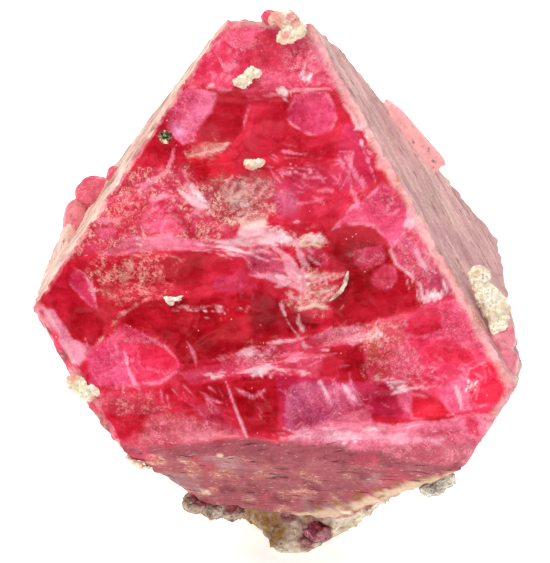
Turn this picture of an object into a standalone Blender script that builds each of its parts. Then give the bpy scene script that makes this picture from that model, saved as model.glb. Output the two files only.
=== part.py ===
"""A large red spinel crystal on a piece of its marble matrix, about 4 cm across.

The crystal is an octahedron that leans back, broken open on its front. Its flat faces are cut as
half-spaces at the true octahedral angles, its front is hollowed by conchoidal breaks, and the
marble it grew in fills its back and its foot, which is broken flat and carries it.

Units are metres, +Z is up, the front faces -Y, and the origin is under the middle of the piece.
"""

import math

import bmesh
import bpy
from mathutils import Matrix, Vector, noise

MM = 0.001
GAP = 0.1 * MM  # clearance between pieces that touch: a cutting copy stands off by this much

# The middle of the broken front, and the height of the rest face under it.
BREAK_CENTRE = Vector((-0.2, -6.2, 24.4)) * MM

# Directions are (azimuth, elevation) in degrees: azimuth 0 is -Y and grows towards +X.
CRYSTAL_AXIS = (-6.3, 30.3)  # the three-fold axis, square to the octahedron's missing front face
BREAK_NORMAL = (-3.4, 26.4)

# Octahedron faces: angle around the three-fold axis in degrees, distance from BREAK_CENTRE in mm.
FACES_LEANING_FORWARD = {"left": (150, 15.2), "right": (30, 12.45), "under": (270, 13.9)}
FACES_LEANING_BACK = {"crown": (90, 20.4), "left_corner": (210, 17.9), "right_corner": (330, 21.1)}

# Old breaks and contact faces: azimuth, elevation, distance in mm.
BROKEN_FACES = {
    "lower_left_bevel": (-40.8, -0.6, 12.75),
    "right_back": (103, -16, 21.4),
    "upper_back": (-178.9, 11.7, 15.2),
    "back": (173.7, -30.3, 16.5),
    "lower_left_back": (-98.2, -46.7, 17.6),
    "under_contact": (-139.2, -77.9, 18.97),
    "lower_right_back": (96.4, -56.6, 19.72),
}

# Hollows in the break, in mm and degrees from its middle:
# (across, up, half width, half height, depth, turn).
BREAK_HOLLOWS = {
    "top": (0.6, 18.6, 4.4, 2.6, 0.5, -12),
    "upper_left": (-4.4, 13.2, 2.6, 2.9, 1.3, 25),
    "upper_middle": (-0.6, 12.2, 3.2, 3.2, 1.7, -10),
    "upper_right_disc": (3.2, 13.6, 2.0, 1.8, 0.9, 20),
    "central_left": (-2.6, 6.6, 4.2, 3.4, 1.8, 15),
    "central_right": (3.2, 7.2, 3.2, 3.6, 1.4, -35),
    "core": (6.6, 1.8, 4.6, 4.2, 2.2, 14),
    "core_left": (0.4, -1.0, 3.4, 2.2, 1.6, -20),
    "left_band": (-9.6, 0.0, 6.2, 2.0, 1.0, 8),
    "left_quad": (-15.0, -4.1, 2.2, 2.2, 1.1, -35),
    "hot_pink_left": (-10.0, -6.6, 3.6, 2.4, 0.8, 22),
    "lower_left_crimson": (-1.8, -11.2, 3.0, 2.0, 1.2, -14),
    "lower_right_band": (12.4, -9.8, 3.2, 1.7, 0.9, 16),
    "right_facets": (16.4, -7.2, 3.2, 3.0, 0.9, -40),
    "right_upper": (12.4, 2.4, 2.2, 3.6, 1.0, 32),
    "right_ledge": (9.6, 6.8, 2.0, 2.8, 0.8, 38),
}

# Ledges: half bowls that end in a step along a line. One end of the line (across, up), the
# other end, how far the bowl reaches to the left of that way of going, and its depth.
BREAK_LEDGES = {
    "long_ledge_left": ((-8.2, -9.4), (8.0, -4.2), 4.4, 1.2),
    "long_ledge_right": ((5.6, -4.6), (18.6, 0.2), 5.4, 0.9),
    "left_ledge": ((-17.8, 1.6), (1.8, 3.2), 3.4, 0.9),
    "crown_ledge": ((6.6, 16.0), (-7.6, 15.8), 4.8, 1.1),
    "wedge_ledge": ((-1.8, 11.0), (-8.2, 9.8), 2.6, 1.0),
    "foot_ledge_left": ((-10.6, -13.6), (3.0, -13.0), 2.8, 0.7),
    "foot_ledge_right": ((0.8, -12.6), (16.2, -10.4), 2.6, 0.8),
    "cream_ledge": ((-2.8, -1.6), (4.4, 5.6), 2.4, 0.8),
    "right_step": ((13.4, 7.0), (4.2, 3.4), 2.2, 0.8),
}

LEDGE_LEAN = 0.35  # how far a step leans, for each unit that it drops

# Chips along the crystal's long edges: (x, y, z, radius) from BREAK_CENTRE in mm.
EDGE_CHIPS = (
    (5.9, 6.6, 15.3, 1.0),
    (8.7, 3.9, 9.2, 0.8),
    (-8.9, 5.6, 14.6, 0.9),
    (-12.9, 2.2, 8.0, 0.8),
    (-16.6, 0.4, 3.0, 0.9),
    (13.4, 0.6, 2.4, 0.8),
    (19.4, -5.3, -5.4, 1.1),
    (-9.4, -7.0, -15.0, 0.9),
    (2.2, -7.8, -14.6, 0.8),
)

# Etch troughs on the two long side faces: (x, y, z, half length, half width, depth).
SIDE_TROUGHS = {
    "right": ((9.9, 9.3, 9.6, 3.0, 0.5, 0.45), (13.0, 8.3, 4.6, 3.6, 0.6, 0.5),
              (16.4, 8.9, -0.2, 3.2, 0.5, 0.4), (12.7, 11.9, 7.2, 2.6, 0.45, 0.35),
              (17.2, 3.2, -2.0, 2.6, 0.5, 0.4)),
    "left": ((-10.6, 8.2, 10.5, 3.2, 0.45, 0.35), (-14.2, 6.6, 5.4, 3.0, 0.45, 0.35),
             (-16.6, 9.6, 1.9, 2.6, 0.4, 0.3)),
}

# Smaller crystals grown onto the big one: (x, y, z), half sizes, turns (about X, Y, Z) in degrees.
SIDE_PLATE = ((11.4, 14.2, 8.6), (3.5, 1.9, 0.9), (-8, 50, 6))
SIDE_KNOBS = (  # (x, y, z), half sizes
    ((-14.6, 11.6, 4.8), (1.5, 1.6, 1.45)),
    ((-13.4, 10.4, 6.5), (0.6, 0.6, 0.6)),
    ((-17.3, 11.0, 1.8), (0.9, 1.6, 1.5)),
    ((-18.4, 8.6, -0.4), (0.8, 1.5, 1.7)),
    ((18.9, -1.2, -4.6), (1.2, 1.5, 1.3)),
    ((19.3, -2.3, -6.6), (1.1, 1.5, 1.3)),
)

# Lumps of each attached piece: (x, y, z) from BREAK_CENTRE in mm, half sizes in mm.
CALCITE_CAP_TOP = (
    ((0.0, 10.0, 20.0), (0.8, 0.9, 0.7)),
    ((1.1, 9.8, 19.9), (1.1, 1.0, 0.9)),
    ((2.1, 9.3, 19.2), (0.7, 0.8, 0.8)),
    ((1.0, 9.1, 18.7), (1.0, 0.7, 0.7)),
)
CALCITE_CHIP_UPPER = (
    ((-2.7, 7.5, 15.2), (0.85, 0.6, 0.55)),
    ((-1.9, 7.8, 15.8), (0.75, 0.6, 0.6)),
)
CALCITE_FLECK_CENTRE = (
    ((-2.0, 4.6, 8.8), (0.6, 0.55, 0.5)),
    ((-1.4, 4.9, 8.9), (0.5, 0.5, 0.4)),
)
CALCITE_CRUST_RIGHT = (
    ((17.0, 0.4, 0.2), (1.0, 0.9, 1.2)),
    ((17.7, -0.3, -1.2), (1.2, 1.1, 1.2)),
    ((18.5, -0.6, -2.4), (1.3, 1.2, 1.3)),
    ((18.6, -1.5, -3.8), (1.1, 1.0, 1.1)),
)
CALCITE_CRUST_LEFT = (
    ((-16.4, -2.5, -8.1), (1.1, 0.9, 0.9)),
    ((-15.5, -3.4, -8.7), (1.0, 0.9, 0.8)),
)
CALCITE_LUMP_LOWER_LEFT = (
    ((-11.5, -4.8, -13.9), (1.0, 0.8, 0.7)),
    ((-10.6, -4.4, -14.6), (0.8, 0.7, 0.6)),
)
CALCITE_BEAD_LOWER_RIGHT = (
    ((13.1, -5.4, -16.1), (1.3, 1.1, 0.9)),
    ((14.2, -5.7, -15.4), (0.9, 0.9, 0.8)),
)
CRUST_LOWER_LEFT = (
    ((-6.6, -0.9, -19.0), (1.3, 1.6, 0.9)),
    ((-5.0, 0.2, -19.7), (1.5, 1.8, 0.9)),
    ((-3.6, 0.9, -20.2), (1.2, 1.6, 0.8)),
)
SPINEL_GRAIN_BASE = (((3.5, 0.6, -22.0), (1.1, 1.0, 0.8)),)
PYRITE_GRAIN = ((-9.2, 5.7, 11.0), (0.55, 0.55, 0.5), (20, 30, 15))
MICA_BLADE = ((5.25, 0.35, -0.85), (0.25, 0.6, 1.6), (-45, 40, 0))
MICA_FLAKE = ((-8.6, -0.2, -1.6), (0.8, 0.5, 0.5), (0, 20, 0))

# Broken faces of the marble: azimuth, elevation, distance from BREAK_CENTRE in mm.
MARBLE_FACES = {
    "front": (-25.1, 17.7, -7.8),
    "lower_right": (62.9, -57.8, 21.1),
    "right_foot": (76.1, -39.9, 19.9),
    "lower_left": (-77.7, -36.6, 14.3),
    "left": (-100, 4, 10.6),
    "left_shoulder": (-150, 24, 16.4),
    "right": (84, 10, 11.6),
    "right_shoulder": (136, 34, 16.4),
    "back": (176, -4, 19.6),
    "top_back": (-178, 50, 11.6),
}
MARBLE_INSET = 2.0  # mm that the marble stays inside the crystal's left and right faces
MARBLE_VOXEL = 1.5 * MM
# Its unevenness: (bumps per mm, height in mm), coarse to fine.
MARBLE_LUMPS = ((0.13, 1.3), (0.34, 0.8), (0.8, 0.3))

BLOCK = 120 * MM  # a block larger than the specimen, which flat faces cut down
MERGE = 0.002 * MM

COLOURS = {  # base colour, roughness, metallic
    "spinel": ((0.62, 0.03, 0.11), 0.25, 0.0),
    "marble": ((0.78, 0.70, 0.58), 0.75, 0.0),
    "calcite": ((0.85, 0.78, 0.62), 0.6, 0.0),
    "crust": ((0.36, 0.36, 0.30), 0.8, 0.0),
    "pyrite": ((0.42, 0.40, 0.34), 0.35, 1.0),
    "mica": ((0.45, 0.47, 0.42), 0.3, 0.2),
}


def direction(azimuth, elevation):
    """The unit vector at this azimuth and elevation, in degrees."""
    turn, rise = math.radians(azimuth), math.radians(elevation)
    return Vector((math.sin(turn) * math.cos(rise), -math.cos(turn) * math.cos(rise), math.sin(rise)))


def axes_across(normal):
    """The level direction and the upward one that lie in the plane square to normal."""
    up = Vector((0, 0, 1))
    up = (up - normal * up.dot(normal)).normalized()
    return up.cross(normal), up


def octahedron_normal(lean, angle):
    """A face at this angle around the three-fold axis; lean is 1 for a front face, -1 for a back one."""
    axis = direction(*CRYSTAL_AXIS)
    right, up = axes_across(axis)
    turn = math.radians(angle)
    return lean * axis / 3 + math.sqrt(8) / 3 * (right * math.cos(turn) + up * math.sin(turn))


def crystal_faces():
    """(outward normal, distance from BREAK_CENTRE) of every flat face."""
    faces = [(direction(*BREAK_NORMAL), 0.0)]
    for angle, distance in FACES_LEANING_FORWARD.values():
        faces.append((octahedron_normal(1, angle), distance * MM))
    for angle, distance in FACES_LEANING_BACK.values():
        faces.append((octahedron_normal(-1, angle), distance * MM))
    for azimuth, elevation, distance in BROKEN_FACES.values():
        faces.append((direction(azimuth, elevation), distance * MM))
    return faces


def on_break(across, up, out=0.0):
    """A point given in mm from the middle of the break."""
    normal = direction(*BREAK_NORMAL)
    right, rise = axes_across(normal)
    return BREAK_CENTRE + (right * across + rise * up + normal * out) * MM


def break_turn():
    """The rotation that takes X across the break, Y up it and Z out of it."""
    normal = direction(*BREAK_NORMAL)
    right, rise = axes_across(normal)
    return Matrix((right, rise, normal)).transposed().to_4x4()


def turned(degrees):
    """A rotation by turns about X, Y and Z, in degrees."""
    x, y, z = (math.radians(angle) for angle in degrees)
    return Matrix.Rotation(z, 4, "Z") @ Matrix.Rotation(y, 4, "Y") @ Matrix.Rotation(x, 4, "X")


def cut_off(bm, point, normal):
    """Cuts away what lies beyond the plane and closes the cut."""
    geometry = bm.verts[:] + bm.edges[:] + bm.faces[:]
    cut = bmesh.ops.bisect_plane(bm, geom=geometry, plane_co=point, plane_no=normal, clear_outer=True)
    edges = [item for item in cut["geom_cut"] if isinstance(item, bmesh.types.BMEdge)]
    if edges:
        bmesh.ops.contextual_create(bm, geom=edges)


def tidy(bm):
    """Welds points closer than a few microns, makes triangles and points the faces out."""
    bmesh.ops.remove_doubles(bm, verts=bm.verts, dist=MERGE)
    bmesh.ops.dissolve_degenerate(bm, edges=bm.edges, dist=MERGE)
    bmesh.ops.triangulate(bm, faces=bm.faces)
    bmesh.ops.recalc_face_normals(bm, faces=bm.faces)


def new_object(bm, name, home):
    mesh = bpy.data.meshes.new(name)
    bm.to_mesh(mesh)
    bm.free()
    made = bpy.data.objects.new(name, mesh)
    home.objects.link(made)
    return made


def combine(target, others, operation):
    """Joins the others to the target, or cuts them from it, and removes them."""
    for other in others:
        step = target.modifiers.new(operation.title(), "BOOLEAN")
        step.operation = operation
        step.object = other
    graph = bpy.context.evaluated_depsgraph_get()
    mesh = bpy.data.meshes.new_from_object(target.evaluated_get(graph))
    target.modifiers.clear()
    old_mesh, target.data = target.data, mesh
    bpy.data.meshes.remove(old_mesh)
    mesh.name = target.name
    bm = bmesh.new()
    bm.from_mesh(mesh)
    tidy(bm)
    bm.to_mesh(mesh)
    bm.free()
    for other in others:
        bpy.data.objects.remove(other)


def lump(name, centre, half_sizes, home, grow=0.0, detail=2, rough=0.12):
    """A rounded lump with an uneven skin, grown outwards all over by grow."""
    bm = bmesh.new()
    bmesh.ops.create_icosphere(bm, subdivisions=detail, radius=1.0)
    seed = Vector(centre)
    for vert in bm.verts:
        vert.co *= 1 + rough * noise.noise(vert.co * 1.7 + seed)
    sizes = [size * MM + grow for size in half_sizes]
    bm.transform(Matrix.Translation(BREAK_CENTRE + seed * MM) @ Matrix.Diagonal((*sizes, 1)))
    return new_object(bm, name, home)


def fused_lumps(name, spots, home, grow=0.0, detail=2, rough=0.12):
    """One body of several lumps grown into each other."""
    made = [lump(f"{name}_lump", *spot, home, grow, detail, rough) for spot in spots]
    body = made[0]
    body.name = name
    if len(made) > 1:
        combine(body, made[1:], "UNION")
    return body


def cut_block(faces):
    """A block cut down by half-spaces: (outward normal, distance from BREAK_CENTRE) for each face."""
    bm = bmesh.new()
    bmesh.ops.create_cube(bm, size=BLOCK)
    bm.transform(Matrix.Translation(BREAK_CENTRE))
    for normal, distance in faces:
        cut_off(bm, BREAK_CENTRE + normal * distance, normal)
    return bm


def hollow_cutters(home, shrink):
    """One flattened ball for each hollow in the break; shrink makes the hollow that much shallower."""
    cutters = []
    for across, up, half_width, half_height, depth, turn in BREAK_HOLLOWS.values():
        out_radius = 2.2 * depth
        height = out_radius - depth
        spread = 1 / math.sqrt(1 - (height / out_radius) ** 2)
        bm = bmesh.new()
        bmesh.ops.create_icosphere(bm, subdivisions=2, radius=1.0)
        sizes = [size * MM - shrink for size in (half_width * spread, half_height * spread, out_radius)]
        placed = Matrix.Translation(on_break(across, up, height)) @ break_turn()
        bm.transform(placed @ Matrix.Rotation(math.radians(turn), 4, "Z") @ Matrix.Diagonal((*sizes, 1)))
        cutters.append(new_object(bm, "hollow_cutter", home))
    return cutters


def ledge_cutters(home, shrink):
    """Half bowls: deepest along their straight side, where they leave a step."""
    cutters = []
    for start, end, reach, depth in BREAK_LEDGES.values():
        length = math.dist(start, end)
        turn = math.atan2(end[1] - start[1], end[0] - start[0])
        bm = bmesh.new()
        bmesh.ops.create_icosphere(bm, subdivisions=2, radius=1.0)
        cut_off(bm, Vector((0, 0, 0)), Vector((0, -1, LEDGE_LEAN * depth / reach)).normalized())
        sizes = (length / 2 * MM - shrink, reach * MM - shrink, depth * MM - shrink)
        middle = [(one + other) / 2 for one, other in zip(start, end)]
        placed = Matrix.Translation(on_break(*middle)) @ break_turn() @ Matrix.Rotation(turn, 4, "Z")
        bm.transform(placed @ Matrix.Diagonal((*sizes, 1)))
        cutters.append(new_object(bm, "ledge_cutter", home))
    return cutters


def trough_cutters(home, shrink):
    """Slivers along the long side faces, where the face is etched in line with its edge."""
    front = direction(*BREAK_NORMAL)
    cutters = []
    for face, troughs in SIDE_TROUGHS.items():
        angle, distance = FACES_LEANING_FORWARD[face]
        normal = octahedron_normal(1, angle)
        along = normal.cross(front).normalized()
        frame = Matrix((along, normal.cross(along), normal)).transposed().to_4x4()
        for x, y, z, half_length, half_width, depth in troughs:
            place = Vector((x, y, z)) * MM
            place += normal * (distance * MM - place.dot(normal))
            bm = bmesh.new()
            bmesh.ops.create_icosphere(bm, subdivisions=1, radius=1.0)
            sizes = (half_length * MM - shrink, half_width * MM - shrink, depth * MM - shrink)
            bm.transform(Matrix.Translation(BREAK_CENTRE + place) @ frame @ Matrix.Diagonal((*sizes, 1)))
            cutters.append(new_object(bm, "trough_cutter", home))
    return cutters


def chip_cutters(home, shrink):
    """Small balls that nick the long edges."""
    cutters = []
    for x, y, z, radius in EDGE_CHIPS:
        bm = bmesh.new()
        bmesh.ops.create_icosphere(bm, subdivisions=1, radius=radius * MM - shrink)
        bm.transform(Matrix.Translation(BREAK_CENTRE + Vector((x, y, z)) * MM))
        cutters.append(new_object(bm, "chip_cutter", home))
    return cutters


def side_crystals(home, grow):
    """The plate and the knobs grown onto the big crystal's sides."""
    place, half_sizes, turns = SIDE_PLATE
    bm = bmesh.new()
    bmesh.ops.create_cube(bm, size=2.0)
    sizes = [size * MM + grow for size in half_sizes]
    bmesh.ops.bevel(bm, geom=bm.edges[:], offset=0.35, offset_type="OFFSET", segments=1, profile=0.5,
                    affect="EDGES", material=-1, clamp_overlap=True)
    bm.transform(Matrix.Translation(BREAK_CENTRE + Vector(place) * MM) @ turned(turns)
                 @ Matrix.Diagonal((*sizes, 1)))
    grown = [new_object(bm, "side_plate", home)]
    for centre, half_sizes in SIDE_KNOBS:
        grown.append(lump("side_knob", centre, half_sizes, home, grow, detail=2, rough=0.3))
    return grown


def crystal(name, home, grow=0.0):
    """The whole crystal; grow moves its skin outwards all over, for a copy that cuts its neighbours."""
    faces = [(normal, distance + grow) for normal, distance in crystal_faces()]
    body = new_object(cut_block(faces), name, home)
    combine(body, side_crystals(home, grow), "UNION")
    for cutters in (hollow_cutters, ledge_cutters, trough_cutters, chip_cutters):
        combine(body, cutters(home, grow), "DIFFERENCE")
    return body


def gem_grain(name, place, half_sizes, turns, home, grow=0.0):
    """A small block-shaped crystal with worn edges."""
    bm = bmesh.new()
    bmesh.ops.create_cube(bm, size=2.0)
    bmesh.ops.bevel(bm, geom=bm.edges[:], offset=0.3, offset_type="OFFSET", segments=1, profile=0.5,
                    affect="EDGES", material=-1, clamp_overlap=True)
    sizes = [size * MM + grow for size in half_sizes]
    bm.transform(Matrix.Translation(BREAK_CENTRE + Vector(place) * MM) @ turned(turns)
                 @ Matrix.Diagonal((*sizes, 1)))
    return new_object(bm, name, home)


def marble(home, neighbours):
    """The marble behind and under the crystal, broken flat where it stands."""
    faces = [(direction(turn, rise), distance * MM) for turn, rise, distance in MARBLE_FACES.values()]
    for side in ("left", "right"):
        angle, distance = FACES_LEANING_FORWARD[side]
        faces.append((octahedron_normal(1, angle), (distance - MARBLE_INSET) * MM))
    body = new_object(cut_block(faces), "marble_matrix", home)
    remesh = body.modifiers.new("Remesh", "REMESH")
    remesh.mode = "VOXEL"
    remesh.voxel_size = MARBLE_VOXEL
    combine(body, [], "UNION")
    bm = bmesh.new()
    bm.from_mesh(body.data)
    bm.normal_update()
    for vert in bm.verts:
        place = vert.co / MM
        bumps = sum(height * noise.noise(place * fineness) for fineness, height in MARBLE_LUMPS)
        vert.co += vert.normal * bumps * MM
    cut_off(bm, Vector((0, 0, 0)), Vector((0, 0, -1)))
    tidy(bm)
    bm.to_mesh(body.data)
    bm.free()
    combine(body, neighbours, "DIFFERENCE")
    return body


def material(name):
    colour, roughness, metallic = COLOURS[name]
    made = bpy.data.materials.new(name)
    made.use_nodes = True
    shader = made.node_tree.nodes["Principled BSDF"]
    shader.inputs["Base Color"].default_value = (*colour, 1)
    shader.inputs["Roughness"].default_value = roughness
    shader.inputs["Metallic"].default_value = metallic
    made.diffuse_color = (*colour, 1)
    return made


def main():
    for old in list(bpy.data.objects):
        bpy.data.objects.remove(old, do_unlink=True)
    parts = bpy.data.collections.new("spinel_in_matrix")
    cutters = bpy.data.collections.new("cutters")
    for collection in (parts, cutters):
        bpy.context.scene.collection.children.link(collection)
    cutters.hide_render = True

    finishes = {name: material(name) for name in COLOURS}
    spinel = crystal("spinel_crystal", parts)
    spinel.data.materials.append(finishes["spinel"])

    attached = {
        "calcite_cap_top": (CALCITE_CAP_TOP, "calcite"),
        "calcite_chip_upper": (CALCITE_CHIP_UPPER, "calcite"),
        "calcite_fleck_centre": (CALCITE_FLECK_CENTRE, "calcite"),
        "calcite_crust_right": (CALCITE_CRUST_RIGHT, "calcite"),
        "calcite_crust_left": (CALCITE_CRUST_LEFT, "calcite"),
        "calcite_lump_lower_left": (CALCITE_LUMP_LOWER_LEFT, "calcite"),
        "calcite_bead_lower_right": (CALCITE_BEAD_LOWER_RIGHT, "calcite"),
        "crust_lower_left": (CRUST_LOWER_LEFT, "crust"),
        "spinel_grain_base": (SPINEL_GRAIN_BASE, "spinel"),
    }
    for name, (spots, finish) in attached.items():
        piece = fused_lumps(name, spots, parts, rough=0.35)
        if name != "spinel_grain_base":
            combine(piece, [crystal("crystal_cutter", cutters, GAP)], "DIFFERENCE")
        piece.data.materials.append(finishes[finish])

    grains = {
        "pyrite_grain": (PYRITE_GRAIN, "pyrite"),
        "mica_blade_centre": (MICA_BLADE, "mica"),
        "mica_flake_left": (MICA_FLAKE, "mica"),
    }
    for name, (shape, finish) in grains.items():
        piece = gem_grain(name, *shape, parts)
        combine(piece, [crystal("crystal_cutter", cutters, GAP)], "DIFFERENCE")
        piece.data.materials.append(finishes[finish])

    neighbours = [crystal("crystal_cutter", cutters, GAP)]
    for name in ("calcite_bead_lower_right", "crust_lower_left", "spinel_grain_base"):
        neighbours.append(fused_lumps(f"{name}_cutter", attached[name][0], cutters, GAP, rough=0.35))
    body = marble(parts, neighbours)
    body.data.materials.append(finishes["marble"])


main()
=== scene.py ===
# %% [markdown]
# # A spinel crystal in marble
# The piece is a red octahedron about four centimetres across, broken open on its front, on the
# white marble that it grew in. This notebook dresses the packed solids: it rebuilds the crystal
# with a fine skin, paints the broken front, and gives each grown-on mineral its own grain.

# %% Tools and the packed frame
import math

import bmesh
import bpy
import numpy as np
from mathutils import Matrix, Vector, noise


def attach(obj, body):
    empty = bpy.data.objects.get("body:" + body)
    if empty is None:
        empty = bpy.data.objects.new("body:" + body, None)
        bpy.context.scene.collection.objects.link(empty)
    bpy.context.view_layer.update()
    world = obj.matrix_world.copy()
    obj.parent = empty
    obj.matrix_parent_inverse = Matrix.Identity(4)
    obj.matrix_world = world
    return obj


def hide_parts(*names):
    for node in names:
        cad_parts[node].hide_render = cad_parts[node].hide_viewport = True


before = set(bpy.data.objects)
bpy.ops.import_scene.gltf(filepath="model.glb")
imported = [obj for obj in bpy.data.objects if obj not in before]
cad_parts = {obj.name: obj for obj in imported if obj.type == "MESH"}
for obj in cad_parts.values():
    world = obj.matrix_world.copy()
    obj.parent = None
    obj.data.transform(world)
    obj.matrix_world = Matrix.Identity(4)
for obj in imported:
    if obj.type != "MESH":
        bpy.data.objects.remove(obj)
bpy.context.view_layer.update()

MM = 0.001
noise.seed_set(5)  # so that every run gives the same grains
print("frame holds", sorted(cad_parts))

# %% [markdown]
# ## Directions and places
# Everything on the crystal is measured from the middle of its broken front, in millimetres. A
# direction is an azimuth, where 0 faces the viewer and grows to the right, and an elevation. The
# break has its own two rulers, across and up, so that a patch of colour or a hollow can be placed
# on it as on a sheet of squared paper.

# %% Directions and the break's rulers
BREAK_CENTRE = Vector((-0.2, -6.2, 24.4))
CRYSTAL_AXIS = (-6.3, 30.3)
BREAK_NORMAL = (-3.4, 26.4)


def direction(azimuth, elevation):
    """The unit vector at this azimuth and elevation, in degrees."""
    turn, rise = math.radians(azimuth), math.radians(elevation)
    return Vector((math.sin(turn) * math.cos(rise), -math.cos(turn) * math.cos(rise), math.sin(rise)))


def axes_across(normal):
    """The level direction and the upward one in the plane square to normal."""
    up = Vector((0, 0, 1))
    up = (up - normal * up.dot(normal)).normalized()
    return up.cross(normal), up


OUT = direction(*BREAK_NORMAL)
ACROSS, UP = axes_across(OUT)
print("the break faces", tuple(round(c, 3) for c in OUT))

# %% [markdown]
# ## Camera
# A long lens from 16 degrees above keeps the octahedron's edges straight, as a close-up on a copy
# stand does. The frame is 46.9 mm tall at the crystal, so a millimetre is twelve pixels.

# %% Camera
FRAME_HEIGHT = 46.92  # mm of the scene that the frame's longer side shows
LENS = 800.0  # mm
SENSOR = 36.0  # mm
VIEW_ELEVATION = 16  # degrees


def add_object(name, data):
    """A new object in the scene that shows this data."""
    made = bpy.data.objects.new(name, data)
    bpy.context.scene.collection.objects.link(made)
    return made


camera_data = bpy.data.cameras.new("camera")
camera_data.lens = LENS
camera_data.sensor_width = SENSOR
camera = add_object("camera", camera_data)
sight = direction(0, VIEW_ELEVATION)
camera.location = (BREAK_CENTRE + sight * (LENS * FRAME_HEIGHT / SENSOR)) * MM
camera.rotation_euler = sight.to_track_quat("Z", "Y").to_euler()
bpy.context.scene.camera = camera
print("camera stands at", tuple(round(c, 3) for c in camera.location))

# %% [markdown]
# ## Light and floor
# Minerals are often shown on a light table: a pale sheet lit from below, with large soft lights
# above and to the sides. The side towards the camera stays dark, so that a polished break shows
# its own deep colour and not a grey mirror image of the room.

# %% Light table
TABLE_SIZE = 6.0  # metres
SHEET_LOOK = {
    "Base Color": (0.86, 0.85, 0.835, 1), "Roughness": 0.7, "Specular IOR Level": 0.1,
    "Emission Color": (1.0, 0.98, 0.945, 1), "Emission Strength": 0.68,
}
bpy.context.scene.view_settings.view_transform = "Standard"


def new_material(name):
    """A material with an empty node tree."""
    made = bpy.data.materials.new(name)
    made.use_nodes = True
    made.node_tree.nodes.clear()
    return made


def mesh_from(bm, name):
    """Writes a bmesh to a new mesh and frees it."""
    mesh = bpy.data.meshes.new(name)
    bm.to_mesh(mesh)
    bm.free()
    return mesh


def light_table():
    bm = bmesh.new()
    bmesh.ops.create_grid(bm, x_segments=1, y_segments=1, size=TABLE_SIZE / 2)
    table = add_object("light_table", mesh_from(bm, "light_table"))
    sheet = new_material("pale_sheet")
    output = sheet.node_tree.nodes.new("ShaderNodeOutputMaterial")
    shader = sheet.node_tree.nodes.new("ShaderNodeBsdfPrincipled")
    for key, value in SHEET_LOOK.items():
        shader.inputs[key].default_value = value
    sheet.node_tree.links.new(shader.outputs[0], output.inputs[0])
    table.data.materials.append(sheet)


light_table()
print("the table is", TABLE_SIZE, "m wide")


# %% Lights and world
def soft_box(name, azimuth, elevation, distance, size, watts, colour=(1, 1, 1), glare=False):
    """A square soft light that faces the crystal; without glare it is lit through a polariser."""
    data = bpy.data.lights.new(name, "AREA")
    data.size = size
    data.energy = watts
    data.color = colour
    lamp = add_object(name, data)
    way = direction(azimuth, elevation)
    lamp.location = BREAK_CENTRE * MM + way * distance
    lamp.rotation_euler = way.to_track_quat("Z", "Y").to_euler()
    lamp.visible_glossy = glare


soft_box("key_left", -72, 48, 0.7, 0.6, 5.0, (1.0, 0.985, 0.96))
soft_box("fill_right", 70, 35, 0.8, 0.6, 2.4, (0.97, 0.98, 1.0), glare=True)
soft_box("top", 10, 84, 0.7, 0.45, 2.4)
soft_box("back", 165, 40, 0.8, 0.6, 3.0, glare=True)

world = bpy.data.worlds.new("studio")
world.use_nodes = True
room = world.node_tree.nodes["Background"].inputs
room["Color"].default_value = (1, 0.99, 0.98, 1)
room["Strength"].default_value = 0.04
bpy.context.scene.world = world
print("lights:", ", ".join(sorted(light.name for light in bpy.data.lights)))

# %% [markdown]
# ## The crystal's faces
# A spinel octahedron has eight faces at fixed angles, so three of them in front and three behind
# follow from one axis and their distances. The old breaks behind are flat faces of no fixed angle.

# %% The crystal's faces
FRONT = 0  # the tag of the broken front, and of each other face in the order of the lists
# octahedron faces: angle round the crystal's axis, distance from the break's middle in mm
FORWARD_FACES = {"left": (150, 15.2), "right": (30, 12.45), "under": (270, 13.9)}
BACKWARD_FACES = {"crown": (90, 20.4), "left_corner": (210, 17.9), "right_corner": (330, 21.1)}
BROKEN_FACES = {  # azimuth, elevation, distance from the break's middle
    "lower_left_bevel": (-40.8, -0.6, 12.75),
    "right_back": (103, -16, 21.4),
    "upper_back": (-178.9, 11.7, 15.2),
    "back": (173.7, -30.3, 16.5),
    "lower_left_back": (-98.2, -46.7, 17.6),
    "under_contact": (-139.2, -77.9, 18.97),
    "lower_right_back": (96.4, -56.6, 19.72),
}


def octahedron_normal(lean, angle):
    """The face at this angle round the three-fold axis; lean is 1 in front, -1 behind."""
    axis = direction(*CRYSTAL_AXIS)
    right, up = axes_across(axis)
    turn = math.radians(angle)
    return lean * axis / 3 + math.sqrt(8) / 3 * (right * math.cos(turn) + up * math.sin(turn))


def crystal_faces():
    """Name, outward normal and distance from the break's middle of every flat face."""
    faces = [("front", OUT, 0.0)]
    for lean, known in ((1, FORWARD_FACES), (-1, BACKWARD_FACES)):
        faces += [(name, octahedron_normal(lean, turn), away) for name, (turn, away) in known.items()]
    faces += [(name, direction(az, el), away) for name, (az, el, away) in BROKEN_FACES.items()]
    return faces


FACES = crystal_faces()
FACE_NAMES = [name for name, normal, away in FACES]
print("faces:", ", ".join(FACE_NAMES))

# %% [markdown]
# ## The crystal's block
# The block is a cube cut down by those faces, one bisect for each. Each face is then scored with a
# square grid and subdivided, so that its skin can be pushed in and out while its edges stay
# straight. The broken front gets the finest mesh, because that is where the detail is.

# %% Cut the block
BLOCK = 120.0  # mm, larger than the crystal
FRONT_CELL = 1.0  # mm between the scored lines of the front
FRONT_CUTS = 6
SIDE_CELL = 1.5  # mm, the same for the other faces
SIDE_CUTS = 3
SNAP = 0.001  # mm within which a scored line takes over a point that is there


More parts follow.
